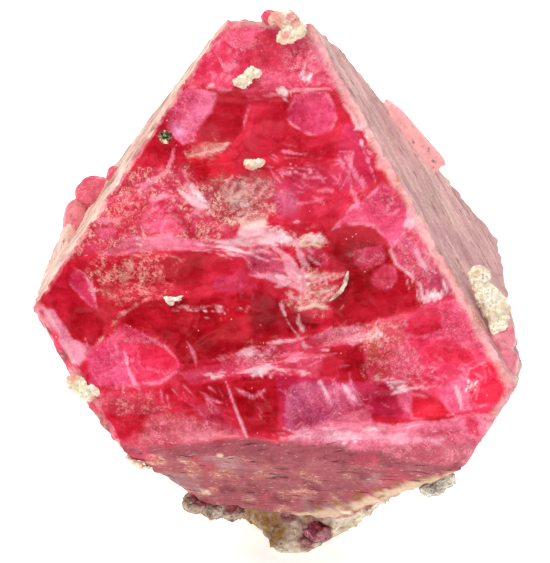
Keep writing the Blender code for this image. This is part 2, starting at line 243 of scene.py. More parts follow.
def cut_block():
    """The faceted block, in mm from the break's middle, each face tagged by its material index."""
    bm = bmesh.new()
    bmesh.ops.create_cube(bm, size=BLOCK)
    for tag, (name, normal, away) in enumerate(FACES):
        geometry = bm.verts[:] + bm.edges[:] + bm.faces[:]
        cut = bmesh.ops.bisect_plane(
            bm, geom=geometry, plane_co=normal * away, plane_no=normal, clear_outer=True
        )
        rim = [item for item in cut["geom_cut"] if isinstance(item, bmesh.types.BMEdge)]
        for face in bmesh.ops.contextual_create(bm, geom=rim)["faces"]:
            face.material_index = tag
    return bm


def score(bm, tag, cell):
    """Cuts one flat face into squares by evenly spaced planes along its two rulers."""
    normal = FACES[tag][1]
    for ruler in axes_across(normal):
        marks = [v.co.dot(ruler) for f in bm.faces if f.material_index == tag for v in f.verts]
        for step in range(math.ceil(min(marks) / cell), math.floor(max(marks) / cell) + 1):
            faces = [f for f in bm.faces if f.material_index == tag]
            parts = {e for f in faces for e in f.edges} | {v for f in faces for v in f.verts}
            bmesh.ops.bisect_plane(
                bm, geom=faces + list(parts), plane_co=ruler * (step * cell), plane_no=ruler, dist=SNAP
            )


def scored_block():
    """The block with its fine skin."""
    bm = cut_block()
    for tag in range(len(FACES)):
        score(bm, tag, FRONT_CELL if tag == FRONT else SIDE_CELL)
    bmesh.ops.triangulate(bm, faces=[f for f in bm.faces if len(f.verts) > 4])
    front = {e for f in bm.faces if f.material_index == FRONT for e in f.edges}
    sides = [e for e in bm.edges if e not in front]
    bmesh.ops.subdivide_edges(bm, edges=list(front), cuts=FRONT_CUTS, use_grid_fill=True)
    bmesh.ops.subdivide_edges(bm, edges=sides, cuts=SIDE_CUTS, use_grid_fill=True)
    bmesh.ops.triangulate(bm, faces=[f for f in bm.faces if len(f.verts) > 4])
    return bm


block = scored_block()
print("block has", len(block.verts), "points and", len(block.faces), "faces")

# %% [markdown]
# ## Rulers on every face
# From here on the crystal is a mesh whose points are held in numpy arrays, in millimetres. Each
# point knows which flat face it lies on and how far it is from that face's nearest edge, so that
# relief can fade out at the edges and leave them straight.

# %% Points, faces and distance from the edges
MESH = mesh_from(block, "spinel_skin")
FAR = 1e3  # mm, farther than anything here


def read_points(mesh, field="co"):
    """The places of a mesh's points, or their normals, as rows of three numbers."""
    flat = np.empty(len(mesh.vertices) * 3, np.float32)
    mesh.vertices.foreach_get(field, flat)
    return flat.reshape(-1, 3).astype(float)


def face_of_points(mesh):
    """The tag of the face that each point lies on; a point on the front's edge counts as front."""
    tags = np.empty(len(mesh.polygons), np.int32)
    mesh.polygons.foreach_get("material_index", tags)
    totals = np.empty(len(mesh.polygons), np.int32)
    mesh.polygons.foreach_get("loop_total", totals)
    corners = np.empty(len(mesh.loops), np.int32)
    mesh.loops.foreach_get("vertex_index", corners)
    found = np.full(len(mesh.vertices), len(FACES), np.int32)
    np.minimum.at(found, corners, np.repeat(tags, totals))
    return found


def edge_distance(points, tag):
    """How far each point of this face is from the face's nearest edge, in mm."""
    normal = np.array(FACES[tag][1])
    nearest = np.full(len(points), FAR)
    for other, (name, towards, away) in enumerate(FACES):
        if other == tag:
            continue
        along = np.array(towards) - normal * np.dot(towards, normal)
        slope = np.linalg.norm(along)
        if slope > 0.05:  # a face that is nearly parallel has no edge with this one
            nearest = np.minimum(nearest, (away - points @ np.array(towards)) / slope)
    return np.maximum(nearest, 0)


points = read_points(MESH)
tag_of = face_of_points(MESH)
is_front = tag_of == FRONT
across = points @ np.array(ACROSS)
up = points @ np.array(UP)
inset = np.zeros(len(points))
for tag in range(len(FACES)):
    inset[tag_of == tag] = edge_distance(points[tag_of == tag], tag)
print("front points:", int(is_front.sum()), "widest inset:", round(float(inset.max()), 1), "mm")

# %% [markdown]
# ## Noise and masks
# Nothing on a broken face has a ruled edge. Each shape below is first measured as a distance, in
# millimetres inside an outline or a stroke; a little noise is added to that distance, and only then
# is it turned into a mask from 0 to 1. Some borders are also blurred, as in cloudy glass.

# %% Noise and masks
FRONT_X, FRONT_Y = across[is_front], up[is_front]
FRONT_AT = np.column_stack((FRONT_X, FRONT_Y, 0 * FRONT_X))


def sway(at, size, seed=0.0):
    """Smooth noise from about -1 to 1 at each point, with bumps of this size in mm."""
    shifted = at / size + np.array((seed * 3.7, seed * 9.1, seed * 5.3))
    return np.array([noise.noise(p) for p in shifted.tolist()])


def turned_rulers(x, y, turn):
    """The places x, y on two rulers that are turned by so many degrees."""
    c, s = math.cos(math.radians(turn)), math.sin(math.radians(turn))
    return x * c + y * s, y * c - x * s


def ramp(low, high, value):
    """0 below low, 1 above high, smooth between."""
    t = np.clip((value - low) / (high - low), 0, 1)
    return t * t * (3 - 2 * t)


WANDER = 0.34 * sway(FRONT_AT, 1.6, 1) + 0.16 * sway(FRONT_AT, 0.55, 2) + 0.08 * sway(FRONT_AT, 0.25, 3)
BLUR = 0.5 * ramp(0.0, 0.5, sway(FRONT_AT, 2.2, 23))  # mm; some borders are crisp, some cloudy
GRAVEL = 1.1 * sway(FRONT_AT * (0.6, 1.3, 1), 0.9, 21) + 0.7 * sway(FRONT_AT, 0.35, 22)


def outline_depth(outline):
    """How far inside the outline each front point is, in mm; negative outside."""
    x, y = FRONT_X, FRONT_Y
    nearest = np.full(len(x), FAR)
    within = np.zeros(len(x), bool)
    for (x0, y0), (x1, y1) in zip(outline, outline[1:] + outline[:1]):
        dx, dy = x1 - x0, y1 - y0
        t = np.clip(((x - x0) * dx + (y - y0) * dy) / (dx * dx + dy * dy), 0, 1)
        nearest = np.minimum(nearest, np.hypot(x - x0 - t * dx, y - y0 - t * dy))
        if dy:
            within ^= ((y0 > y) != (y1 > y)) & (x < x0 + (y - y0) / dy * dx)
    return np.where(within, nearest, -nearest)


def stroke_depth(at, line, width):
    """How far inside a tapering stroke each point is, in mm."""
    x, y = at[:, 0], at[:, 1]
    spans = [math.dist(a, b) for a, b in zip(line, line[1:])]
    total, done = sum(spans), 0.0
    best = np.full(len(x), -FAR)
    for (x0, y0), (x1, y1), span in zip(line, line[1:], spans):
        t = np.clip(((x - x0) * (x1 - x0) + (y - y0) * (y1 - y0)) / span**2, 0, 1)
        gone = (done + t * span) / total
        half = width / 2 * np.sqrt(np.clip(4 * gone * (1 - gone), 0.08, 1))
        best = np.maximum(best, half - np.hypot(x - x0 - t * (x1 - x0), y - y0 - t * (y1 - y0)))
        done += span
    return best


print("borders wander by up to", round(float(np.abs(WANDER).max()), 2), "mm")

# %% [markdown]
# ## Palette
# Three values are painted for each point of the break: its tone, its relief and its grit, which
# marks crushed glass. The reds run from the clear windows to the veins that catch the light.

# %% Palette
PALETTE = {
    "hot pink": "#EE3C62", "rose": "#DC4464", "crimson": "#CC2238", "garnet": "#B61626",
    "wine": "#960E1A", "cherry": "#DC1E32", "magenta": "#C82E50", "lilac": "#CC6284",
    "vein": "#F890A8", "milk": "#FBCDD2", "shell": "#F4A0B0", "tan": "#D88E80",
    "cream": "#EED8BC", "lit pale skin": "#E2C6B8", "shaded dusky skin": "#C9A09F", "mauve": "#9A545C",
}


def tint(code):
    """A colour of the palette, or one written as #RRGGBB, in linear light."""
    code = PALETTE.get(code, code)
    values = [int(code[i : i + 2], 16) / 255 for i in (1, 3, 5)]
    return np.array([v / 12.92 if v < 0.04045 else ((v + 0.055) / 1.055) ** 2.4 for v in values])


tone = np.tile(tint("crimson"), (len(FRONT_AT), 1))
grit = np.zeros(len(FRONT_AT))
relief = np.zeros(len(FRONT_AT))
print("palette:", ", ".join(PALETTE))

# %% [markdown]
# ## Zones, strokes and shards
# The break is painted the way a scientific illustrator works: broad zones first, each an outline
# on the break's rulers, then light veins as tapering strokes, and sprays of fine shards last. A
# zone can also lean or sink, which gives the break its flat chips with crisp steps between them.
# A leaning zone gets painted light on its raised side and painted shade where it dips, and a zone
# can get a painted highlight along its rim.

# %% Zones
LEAN_SHARE = 0.3  # how much of a zone's lean is carried by the mesh
# painted light and shade of a leaning chip: its raised side lighter, its dipped side darker
LEAN_LIGHT = 0.2  # and how much lighter its raised side is
LEAN_LIGHT_TINT = (0.6, 1.4, 1.2)  # pinker where a chip is raised, redder where it dips
CLEARED = 0.8  # share of the older grit that a new zone wipes away
# painted highlight: a zone's rim is lightened as if its edge caught the light
RIM = 0.18  # mm, half the width of a zone's light rim
STREAK = 5.0  # how many times longer than wide a streak is


def lay_on(mask, colour):
    """Turns the tone of the whole break towards a colour, where the mask says so."""
    tone[:] = tone + (tint(colour) - tone) * mask[:, None]


def zone(colour, outline, strength=1.0, soft=0.12, wander=1.0, lean=(0, 0), sink=0.0, rim=0.0,
         rim_colour="vein", rough=0.0, streaks=None):
    """Paints one zone, tilts and sinks it as one chip, and paints light and shade by its lean; streaks is a
    turn, an amount and a size.
    """
    depth = outline_depth(outline) + wander * WANDER
    mask = ramp(-soft, soft, depth)
    fill = strength * ramp(-soft - BLUR, soft + BLUR, depth)
    if streaks:
        turn, amount, size = streaks
        along, beside = turned_rulers(FRONT_X, FRONT_Y, turn)
        cloud = sway(np.column_stack((along / STREAK, beside, 0 * along)), size, len(outline))
        fill = fill * np.clip(1 - amount * (0.5 + cloud), 0, 1)
    lay_on(fill, colour)
    middle = np.mean(outline, axis=0)
    tilted = (FRONT_X - middle[0]) * lean[0] + (FRONT_Y - middle[1]) * lean[1]
    # painted light and shade: the raised side of the chip is painted lighter and pinker, the dipped side
    # darker and redder
    tone[:] *= 1 + mask[:, None] * LEAN_LIGHT * np.tanh(2 * tilted)[:, None] * LEAN_LIGHT_TINT
    relief[:] += mask * (LEAN_SHARE * tilted - sink)
    grit[:] *= 1 - CLEARED * mask
    if rough:
        grit[:] = np.maximum(grit, rough * ramp(-0.6, 1.0, depth + GRAVEL))
    # painted highlight along part of the zone's edge
    if rim:
        broken = ramp(-0.3, 0.5, sway(FRONT_AT, 0.9, 7 + len(outline)))
        lay_on(rim * broken * ramp(-RIM, -0.02, depth) * ramp(RIM, 0.02, depth), rim_colour)


print("a zone keeps", round(1 - CLEARED, 2), "of the older grit")


# %% Strokes and shards
def stroke(colour, line, width=0.3, strength=1.0, soft=0.1, wander=0.5, rise=0.0, rough=0.0):
    """Paints a tapering light or dark vein, which may stand up or sink a little."""
    xs, ys = zip(*line)
    near = np.nonzero((FRONT_X > min(xs) - 1) & (FRONT_X < max(xs) + 1)
                      & (FRONT_Y > min(ys) - 1) & (FRONT_Y < max(ys) + 1))[0]
    mask = ramp(-soft, soft, stroke_depth(FRONT_AT[near], line, width) + wander * WANDER[near])
    tone[near] += (tint(colour) - tone[near]) * (mask * strength)[:, None]
    relief[near] += mask * rise
    if rough:
        grit[near] += (rough - grit[near]) * mask


def shards(colour, middle, spread, count, length, turn=0.0, width=0.14, strength=0.8, fan=25, rough=0.0):
    """A spray of short tapering splinters round a place; spread is its half width and half height."""
    dice = np.random.default_rng(round(abs(middle[0] * 97 + middle[1] * 31 + count)))
    for step in range(count):
        x, y = np.array(middle) + np.clip(dice.normal(0, 0.5, 2), -1, 1) * spread
        angle = math.radians(turn + dice.normal(0, fan))
        half = length * dice.uniform(0.25, 0.8)
        way, bend = np.array((math.cos(angle), math.sin(angle))) * half, dice.normal(0, 0.12) * half
        line = [(x - way[0], y - way[1]), (x - way[1] * bend, y + way[0] * bend), (x + way[0], y + way[1])]
        stroke(colour, line, width * dice.uniform(0.5, 1.5), strength * dice.uniform(0.4, 1.0),
               soft=0.07, wander=0.3, rough=rough)


def say_painted(part):
    """Prints the mean tone of the break once a part of it is painted."""
    print(part, "painted; mean tone", [round(float(value), 3) for value in tone.mean(axis=0)])


print("the break starts at tone", [round(float(value), 3) for value in tone[0]])

# %% [markdown]
# ## Hollows and ledges
# The large forms are the ones that the solid part already has: shell-shaped hollows, and ledges
# that are half of such a hollow ending in a step. Taking the lower of each pair of shapes, and not
# their sum, leaves sharp ridges where two hollows meet, as in any glassy break.

# %% Large relief of the break
HOLLOWS = (  # across, up, half width, half height, depth, turn
    (0.6, 18.6, 4.4, 2.6, 0.5, -12), (-4.4, 13.2, 2.6, 2.9, 1.3, 25), (-0.6, 12.2, 3.2, 3.2, 1.7, -10),
    (3.2, 13.6, 2, 1.8, 0.9, 20), (-2.6, 6.6, 4.2, 3.4, 1.8, 15), (3.2, 7.2, 3.2, 3.6, 1.4, -35),
    (6.6, 1.8, 4.6, 4.2, 1.7, 14), (0.4, -1, 3.4, 2.2, 1, -20), (-9.6, 0, 6.2, 2, 1, 8),
    (-15, -4.1, 2.2, 2.2, 0.7, -35), (-10, -6.6, 3.6, 2.4, 0.8, 22),
    (-1.8, -11.2, 3, 2, 0.5, -14), (12.4, -9.8, 3.2, 1.7, 0.9, 16),
    (16.4, -7.2, 3.2, 3, 0.9, -40), (12.4, 2.4, 2.2, 3.6, 1, 32), (9.6, 6.8, 2, 2.8, 0.8, 38),
)
LEDGES = (  # start, end, reach to the left of the way of going, depth
    ((-8.2, -9.4), (8, -4.2), 4.4, 1.2), ((5.6, -4.6), (18.6, 0.2), 5.4, 0.9),
    ((-17.8, 1.6), (1.8, 3.2), 3.4, 0.9), ((6.6, 16), (-7.6, 15.8), 4.8, 1.1),
    ((-1.8, 11), (-8.2, 9.8), 2.6, 1), ((-10.6, -13.6), (3, -13), 2.8, 0.7),
    ((0.8, -12.6), (16.2, -10.4), 2.6, 0.8), ((-2.8, -1.6), (4.4, 5.6), 2.4, 0.8),
    ((13.4, 7), (4.2, 3.4), 2.2, 0.8),
)


def large_relief():
    """The lowest of all hollows and ledges at each front point, in mm."""
    x = FRONT_X + 0.8 * WANDER
    y = FRONT_Y + 0.3 * sway(FRONT_AT, 1.9, 4)
    lowest = np.zeros(len(x))
    for middle_x, middle_y, half_width, half_height, depth, turn in HOLLOWS:
        a, b = turned_rulers(x - middle_x, y - middle_y, turn)
        away = (a / half_width) ** 2 + (b / half_height) ** 2
        lowest = np.minimum(lowest, -depth * np.clip(1 - away / 1.3, 0, 1) ** 1.6)
    for (x0, y0), (x1, y1), reach, depth in LEDGES:
        half = math.dist((x0, y0), (x1, y1)) / 2
        cx, cy = (x0 + x1) / 2, (y0 + y1) / 2
        ux, uy = (x1 - x0) / (2 * half), (y1 - y0) / (2 * half)
        a = ((x - cx) * ux + (y - cy) * uy) / half
        b = ((y - cy) * ux - (x - cx) * uy) / reach
        bowl = -depth * np.sqrt(np.clip(1 - a * a - b * b, 0, 1)) * ramp(-0.12, 0.12, b)
        lowest = np.minimum(lowest, bowl)
    return lowest


def scallops(at, size, seed):
    """Shallow dishes with sharp rims, one in each Voronoi cell, as on knapped flint; 0 to about 1."""
    shifted = at / size + np.array((seed, 2.3 * seed, 0.37 * seed))
    return np.array([noise.voronoi(p)[0][0] for p in shifted.tolist()]) ** 2


relief += large_relief()
warped = FRONT_AT + np.column_stack((WANDER, sway(FRONT_AT, 1.2, 9) * 0.4, 0 * WANDER))
dishes = 0.55 * scallops(warped, 3.4, 11) + 0.14 * scallops(warped, 1.4, 12)
relief += dishes + 0.04 * scallops(warped, 0.6, 13)
relief += 0.2 * sway(FRONT_AT, 2.6, 14) - 0.3
print("relief from", round(float(relief.min()), 2), "to", round(float(relief.max()), 2), "mm")

# %% [markdown]
# ## Painting the break
# The zones are laid from the crown down. Deep reds are the clear windows into the crystal, pinks
# are bruised or cloudy glass just under the surface, and tan or cream is where marble still clings.
#
# The crown is thin and bright. Its left side is clear red glass under a curved lip, and its right
# side is milky. A white line separates it from the shells below.

# %% Crown
zone("rose", [(-5.4, 24), (4.5, 24), (9.4, 11.6), (6.6, 15), (4.1, 16.4), (2.2, 16.4), (0.6, 16.2),
     (-2.7, 15.7), (-5.6, 16.4), (-8.2, 16.4), (-10, 14)], 0.9, rough=0.25, streaks=(60, 0.5, 1.2))
zone("#E83C5C", [(-5.6, 20.4), (-4.4, 20.4), (-3.4, 19.5), (-1.9, 19.8), (-2.2, 17.6), (-3.6, 16.2),
     (-7.6, 16.6)], 0.9, streaks=(60, 0.5, 1))
zone("#DC3C52", [(-2, 21.2), (-0.4, 21.3), (0.2, 20.4), (-0.2, 18.4), (-1.8, 18.2), (-2, 19.8)],
     0.6, sink=0.1)
zone("#F0607E", [(-4.8, 21), (-4.4, 21.7), (-3.8, 22.1), (-2.5, 22), (-1.4, 21.6), (-2.1, 21.1),
     (-2.3, 20.5), (-2.6, 19.9), (-3.1, 19.6), (-3.7, 19.9), (-4.4, 20.4)], 1, wander=0.5,
     lean=(0.1, -0.2), rim=0.5)
zone("#F08098", [(0.6, 21.6), (3.2, 21), (5.6, 17), (3.8, 16.8), (2.4, 18.6)], 0.7, rough=0.35,
     streaks=(-50, 0.6, 0.7))
zone("#F4A4AE", [(2.4, 22), (3.6, 20.8), (5.6, 17.4), (7.4, 14.2), (9.6, 11.2), (8.6, 11),
     (6.6, 14), (4.6, 16.4), (3.2, 19.4), (1.8, 21.4)], 0.85, soft=0.2, rough=0.3,
     streaks=(-55, 0.7, 0.7))
zone("#E85C78", [(-1.6, 17.8), (1.6, 18), (3.8, 17.4), (3.4, 16.7), (0.6, 16.5), (-1.4, 16.2)], 0.7,
     streaks=(10, 0.5, 0.8))
stroke("vein", [(-7.8, 16.4), (-5.6, 16.4), (-4, 16.2), (-2.7, 15.8)], 0.14, 0.8)
stroke("milk", [(-2.4, 15.6), (-0.6, 15.9), (0.6, 16.2), (2.2, 16.4), (4.1, 16.4)], 0.16, 0.9, wander=0.3)
stroke("milk", [(-0.2, 16), (0.5, 16.3)], 0.34, 0.9)
stroke("milk", [(2.1, 18.9), (1.9, 18), (2.4, 17.1), (2, 16.6)], 0.16, 0.7)
stroke("milk", [(-6.2, 16.4), (-5.5, 16.8)], 0.4, 0.8)
stroke("milk", [(-4.6, 22.4), (-2.4, 22), (-0.6, 21.6)], 0.3, 0.6)
say_painted("crown")

# %% [markdown]
# Shell-shaped hollows under the crown are deep red where the glass is clear. One pink shell stands
# up between them, and a cloudy pink plate lies on the left.

# %% Shells below the crown
zone("garnet", [(-5.5, 15.9), (-3.6, 16.4), (-2.6, 15.7), (-3, 14), (-3.1, 13.1), (-4.1, 11.6),
     (-6, 11.9), (-6.9, 11.9), (-6.4, 13.1), (-5.7, 14.5)], 1, wander=0.4, lean=(-0.15, 0.1),
     sink=0.1)
zone("crimson", [(-2.7, 15.7), (-0.6, 15.9), (0.6, 16.2), (4.1, 16.4), (5, 15.5), (5.6, 13.8),
     (6.6, 12.2), (3.1, 10.8), (-1.1, 11), (-4.2, 11.4), (-3, 13.4)], 1, wander=0.4, sink=0.1)
zone("#D42A40", [(-2.4, 15.5), (-0.1, 15.7), (0.3, 13.6), (0.1, 12.2), (-1.2, 12.6), (-2.6, 13.6)], 0.7,
     soft=0.2, wander=1.2, lean=(-0.1, 0.1))
zone("#C42036", [(-0.2, 12.4), (3, 12.4), (5.8, 12.2), (4.8, 10.4), (1, 10.4), (-1.6, 11.2)], 0.8,
     soft=0.3)
zone("#EC6E90", [(-5.5, 15.9), (-5.8, 14.5), (-6.7, 13.1), (-7.2, 11.9), (-8, 11.6), (-8.8, 12.1),
     (-9.3, 13), (-8.8, 15.2), (-7.9, 16.3), (-6.4, 16.3)], 0.95, wander=0.4, lean=(0.12, 0.1),
     rim=0.5, streaks=(60, 0.35, 1.4))
zone("#D84C70", [(-8.6, 15.4), (-7, 15.8), (-7.4, 14.6), (-8.6, 13.4), (-9.4, 13.6)], 0.6, soft=0.3)
# painted highlight: a light lilac spot where the glossy shell catches the light
zone("#FBA8D0", [(-8.9, 12.9), (-8.1, 13.3), (-7.7, 12.6), (-8.2, 12), (-8.8, 12.2)], 0.9, soft=0.35)
zone("#F8DCF4", [(-8.6, 12.8), (-8.2, 12.9), (-8.1, 12.5), (-8.5, 12.4)], 0.9, soft=0.2)
zone("#D63C60", [(0.55, 14.8), (1.2, 15.9), (2.4, 16.3), (3.8, 16.1), (4.5, 15.2), (4.7, 14),
     (4.3, 13.1), (3.3, 12.6), (2.2, 12.9), (1, 13.6), (0.55, 14.1)], 1, soft=0.06, wander=0.25,
     lean=(0.1, 0.1), rim=0.75)
zone("magenta", [(5.4, 14), (6.6, 12.6), (8.2, 10.6), (8.3, 9), (7.6, 8.1), (5.6, 8.6), (4.8, 10.4),
     (4.8, 12)], 0.85, lean=(-0.1, 0.1), streaks=(-60, 0.4, 0.8))
stroke("vein", [(-2.5, 15.6), (-2.8, 14.4), (-3.1, 13.2)], 0.16, 0.6)
stroke("milk", [(5.2, 15.4), (6, 14.4), (6.6, 13.2)], 0.35, 0.7, rough=0.3)
zone("cherry", [(-7.7, 10.5), (-5.9, 10.6), (-4, 10.7), (-3.7, 9.5), (-4.5, 8.8), (-5.6, 8.5),
     (-6.3, 8.8), (-7, 9.6)], 1, wander=0.3, lean=(0.05, 0.3), sink=0.2)
zone("tan", [(-7.7, 10.5), (-6.3, 11.7), (-4.3, 11.9), (-4.6, 11.3), (-5.9, 10.7)], 0.75, wander=0.4,
     rough=0.6)
zone("#8A4438", [(-6.2, 9), (-4.6, 9.2), (-3.4, 8), (-3.6, 6.9), (-5.4, 7.4)], 0.55, soft=0.4,
     wander=1.4, rough=0.5)
stroke("cream", [(-7.6, 10.5), (-6.4, 10.8), (-4.9, 11.3), (-4.4, 11.8)], 0.16, 0.7)
stroke("vein", [(0.3, 11.4), (1.8, 11), (3.2, 10.6)], 0.14, 0.7)
stroke("vein", [(6.9, 11.8), (7.6, 10.2), (8.2, 8.6)], 0.14, 0.6)
stroke("vein", [(6.3, 9.8), (6.9, 8.3)], 0.14, 0.5)
say_painted("shells below the crown")

# %% [markdown]
# The centre is crushed to a cloudy brownish pink, so its zones are soft and rough, and white and
# cream splinters lie along the step that crosses it.

# %% Centre
zone("magenta", [(-0.2, 9.6), (3, 10.2), (6, 9.4), (7.6, 8.1), (6.5, 7.3), (5.2, 5.6), (4.3, 4.4),
     (2.4, 4.9), (0.1, 5.6), (-0.8, 6.7)], 0.95, streaks=(-10, 0.4, 1), rim=0.2)
zone("crimson", [(2.2, 8.2), (7.2, 7.8), (5.2, 5.6), (4.3, 4.4), (2.2, 5), (1.6, 6.2)], 0.7,
     lean=(0.1, 0.2))
zone("lilac", [(-0.2, 7.9), (1.4, 7.9), (1.6, 6.3), (0.4, 5.8), (-0.5, 6.6)], 0.5, lean=(0.2, 0),
     soft=0.3)
zone("#C0505A", [(-6, 8.6), (-3.9, 8.6), (-2, 9.2), (-0.2, 8.8), (-0.6, 7.4), (-0.4, 6.1),
     (-1.4, 5), (-2.8, 5.2), (-4.6, 4.6), (-6.2, 6), (-7.2, 7)], 0.7, soft=0.5, wander=1.4,
     rough=0.9, streaks=(35, 0.4, 0.5))
zone("#E49C94", [(-4.6, 7.6), (-2.8, 8.4), (-1, 8.6), (-0.6, 7.4), (-1.4, 6.2), (-2.9, 5.8),
     (-4.4, 6.4)], 0.3, soft=0.5, wander=1.4, rough=0.7, streaks=(40, 0.6, 0.4))
zone("milk", [(-8.1, 8.2), (-7.3, 8.2), (-6.4, 7), (-5.9, 6.5), (-6.6, 6.2), (-7.8, 7.1)], 0.8,
     soft=0.15, rough=0.4)
zone("cream", [(-2.9, 5.4), (-1.2, 5.7), (-0.6, 5), (-1.2, 4.4), (-3, 4.6)], 0.6, soft=0.2, rough=0.8)
zone("milk", [(-3, 4.9), (-1.2, 5.1), (-0.3, 4.5), (0.7, 4.4), (1.4, 3.7), (1.1, 3.1), (-0.2, 3.2),
     (-2.2, 3), (-3.4, 3.4)], 0.8, lean=(0, 0.25), rough=0.45, streaks=(-20, 0.7, 0.5))
zone("crimson", [(1.6, 6), (4.2, 5.4), (4.3, 4.6), (1.8, 4.4)], 0.8, soft=0.2)
zone("#F0B4B4", [(1.9, 4), (4.2, 4.1), (4.4, 3.5), (3.2, 3.4), (2, 3.5)], 0.8, wander=1.2, rough=0.5)
zone("rose", [(1.5, 3.2), (3.2, 3), (4.6, 2.4), (4.4, 1.4), (3.4, 1.9), (1.8, 2.2)], 0.6, rough=0.3)
zone("garnet", [(2.4, 2), (3.8, 1.9), (3, 0.9), (1.9, 0.4), (1.6, 0.9)], 0.95, sink=0.2)
zone("#E8A498", [(2.3, 1), (5.6, 1.1), (5.2, 0.6), (3.4, 0.3), (2.5, 0.4)], 0.5, wander=1.8, rough=0.7)
zone("#D85A70", [(-3.2, 3), (0.2, 2.8), (1, 1), (0.8, 0.2), (-0.8, 0.2), (-2.6, 0.8),
     (-3.2, 2)], 0.85, streaks=(-20, 0.4, 0.8))
zone("#C24460", [(-2, 2.7), (-0.2, 2.4), (0.8, 1.3), (0.5, 0.8), (-1.2, 0.7), (-2.2, 1.5)], 0.8,
     lean=(0.2, 0.1), rim=0.6)
stroke("#F29CAA", [(-0.3, 3.1), (0.8, 2.2), (1.6, 0.8), (2.4, -0.4), (2.9, -1.5)], 0.9, 0.85, rough=0.2)
stroke("shell", [(-2.2, 0.6), (0, 0.4), (1.6, -0.2), (2.8, -0.9)], 0.4, 0.8)
zone("#C45C5C", [(2.6, -0.2), (4.6, 0), (5.8, 0.3), (5.2, -1), (4.2, -2.2), (2, -2.4),
     (1.6, -3.2), (1, -1.6)], 0.5, soft=0.3, wander=1.6, rough=0.6)
stroke("cream", [(3, -0.9), (4.6, -0.5), (5.9, 0.5)], 0.2, 0.7, wander=1, rough=0.4)
stroke("tan", [(2.4, 0.7), (4, 0.6), (5.6, 0.9)], 0.24, 0.7, wander=1, rough=0.4)
say_painted("centre")

# %% [markdown]
# Two dark windows look deep into the crystal. The pink ridge beside them catches the light, so its
# zones get a painted highlight along their rims.

# %% Right ridge and the dark core
zone("garnet", [(4.8, -1), (6.1, 0.5), (5.8, 1.7), (6.7, 1.9), (9.5, 2.2), (10, 1.7), (12, 0.1),
     (12.1, -1.1), (12.5, -1.8), (10.1, -2.5), (8, -3.2), (5.9, -3.5), (4.8, -2.6)], 1, wander=0.4,
     lean=(0.05, -0.05))
zone("garnet", [(4.8, 4.5), (5.7, 5), (6.9, 5.1), (8.2, 4.8), (9, 4), (9.4, 3.1), (9.7, 2),
     (6.4, 1.6), (5, 1.8), (4.5, 2.6), (4.6, 3.6)], 1, wander=0.4, lean=(0, 0.15), sink=0.2)
zone("#E04E6C", [(6.4, 3), (8.6, 3.3), (9, 2.2), (7.8, 1.7), (6.5, 2)], 1, soft=0.1, rough=0.2)
zone("#D4405C", [(8.3, 1.3), (9, 1.8), (9.9, 1.4), (10.1, 0.6), (9.7, -0.1), (8.8, -0.3), (8.1, 0.2),
     (8, 0.8)], 0.9, soft=0.1, wander=0.3, lean=(-0.1, 0.1), rim=0.3)
zone("#EA4E74", [(4.6, 4.6), (5.9, 6.1), (7.5, 7.3), (8.6, 8.6), (10, 7.8), (10.8, 6), (10.6, 4.5),
     (9.7, 3.2), (9, 4.1), (8.3, 4.9), (6.9, 5.2), (5.7, 5.1)], 1, soft=0.08, wander=0.4,
     lean=(0.1, -0.15), rim=0.85, streaks=(50, 0.3, 0.7))
zone("#CC365A", [(8.6, 8), (9.6, 7.6), (10.4, 6.4), (9.8, 6), (9, 6.6), (8.5, 7.2)], 0.8,
     soft=0.2, rough=0.4)
# painted highlight: a near-white patch where the right edge catches the light
zone("#F9B8C4", [(11, 6.5), (11.6, 6.4), (12.4, 5), (12.5, 4.2), (11.6, 4.6), (10.8, 5.1)], 0.95,
     soft=0.15)
zone("#D85474", [(9.9, 3.4), (10.7, 4.4), (11.6, 4.7), (12.5, 3.9), (13.4, 2.6), (14.5, 0.5),
     (14.9, -0.5), (14, -0.6), (13.1, -1.5), (12.5, -1.5), (12, 0.1), (10, 1.9), (9.7, 2.8)],
     0.95, wander=0.4, lean=(-0.05, 0.1), rim=0.7, rim_colour="milk", rough=0.25,
     streaks=(-50, 0.6, 0.7))
zone("#B83A58", [(12.6, 1.6), (13.6, 1.8), (14.6, 0.2), (14.6, -0.6), (13.6, -0.6), (12.8, 0.2)], 0.85,
     soft=0.2, lean=(0.1, 0.1))
stroke("milk", [(9.5, 3), (10, 1.8), (11.2, 0.9), (12.1, 0), (12.5, -1.4)], 0.16, 0.75, wander=0.3)
stroke("milk", [(12.6, -0.2), (12.8, -1.2)], 0.3, 0.8)
stroke("milk", [(13.3, -0.2), (13.3, -1.2)], 0.24, 0.8)
stroke("milk", [(13.9, 0.6), (14.3, -0.4)], 0.24, 0.8)
stroke("#F6B4CC", [(11, 3.8), (11.8, 2.6), (12.6, 1.2)], 0.16, 0.7)
say_painted("right ridge and the dark core")

# %% [markdown]
# The left arm is a softly streaked pink band with a narrow bright ledge under it. Below the ledge
# the glass is clear and red, as far as the pale corner.

# %% Left band and shoulder
zone("rose", [(-15.6, 7.5), (-10.8, 9.6), (-7.5, 9.8), (-7.4, 7.6), (-6.4, 6), (-4.2, 4.6),
     (-3.2, 3.4), (-8, 2.8), (-14.6, 2.2), (-17.4, 2.4)], 0.75, rough=0.75, streaks=(20, 0.5, 0.8))
zone("crimson", [(-14.8, 5.6), (-12, 7.4), (-10.8, 6.6), (-11.4, 4.6), (-13.6, 3.8)], 0.8, rough=0.6,
     soft=0.3)
zone("#EE4C70", [(-10.6, 6.8), (-9, 7.2), (-7.6, 5.4), (-8, 4.2), (-10.6, 4.2), (-11.6, 5.2)], 0.9,
     lean=(0.1, -0.1), rim=0.7)
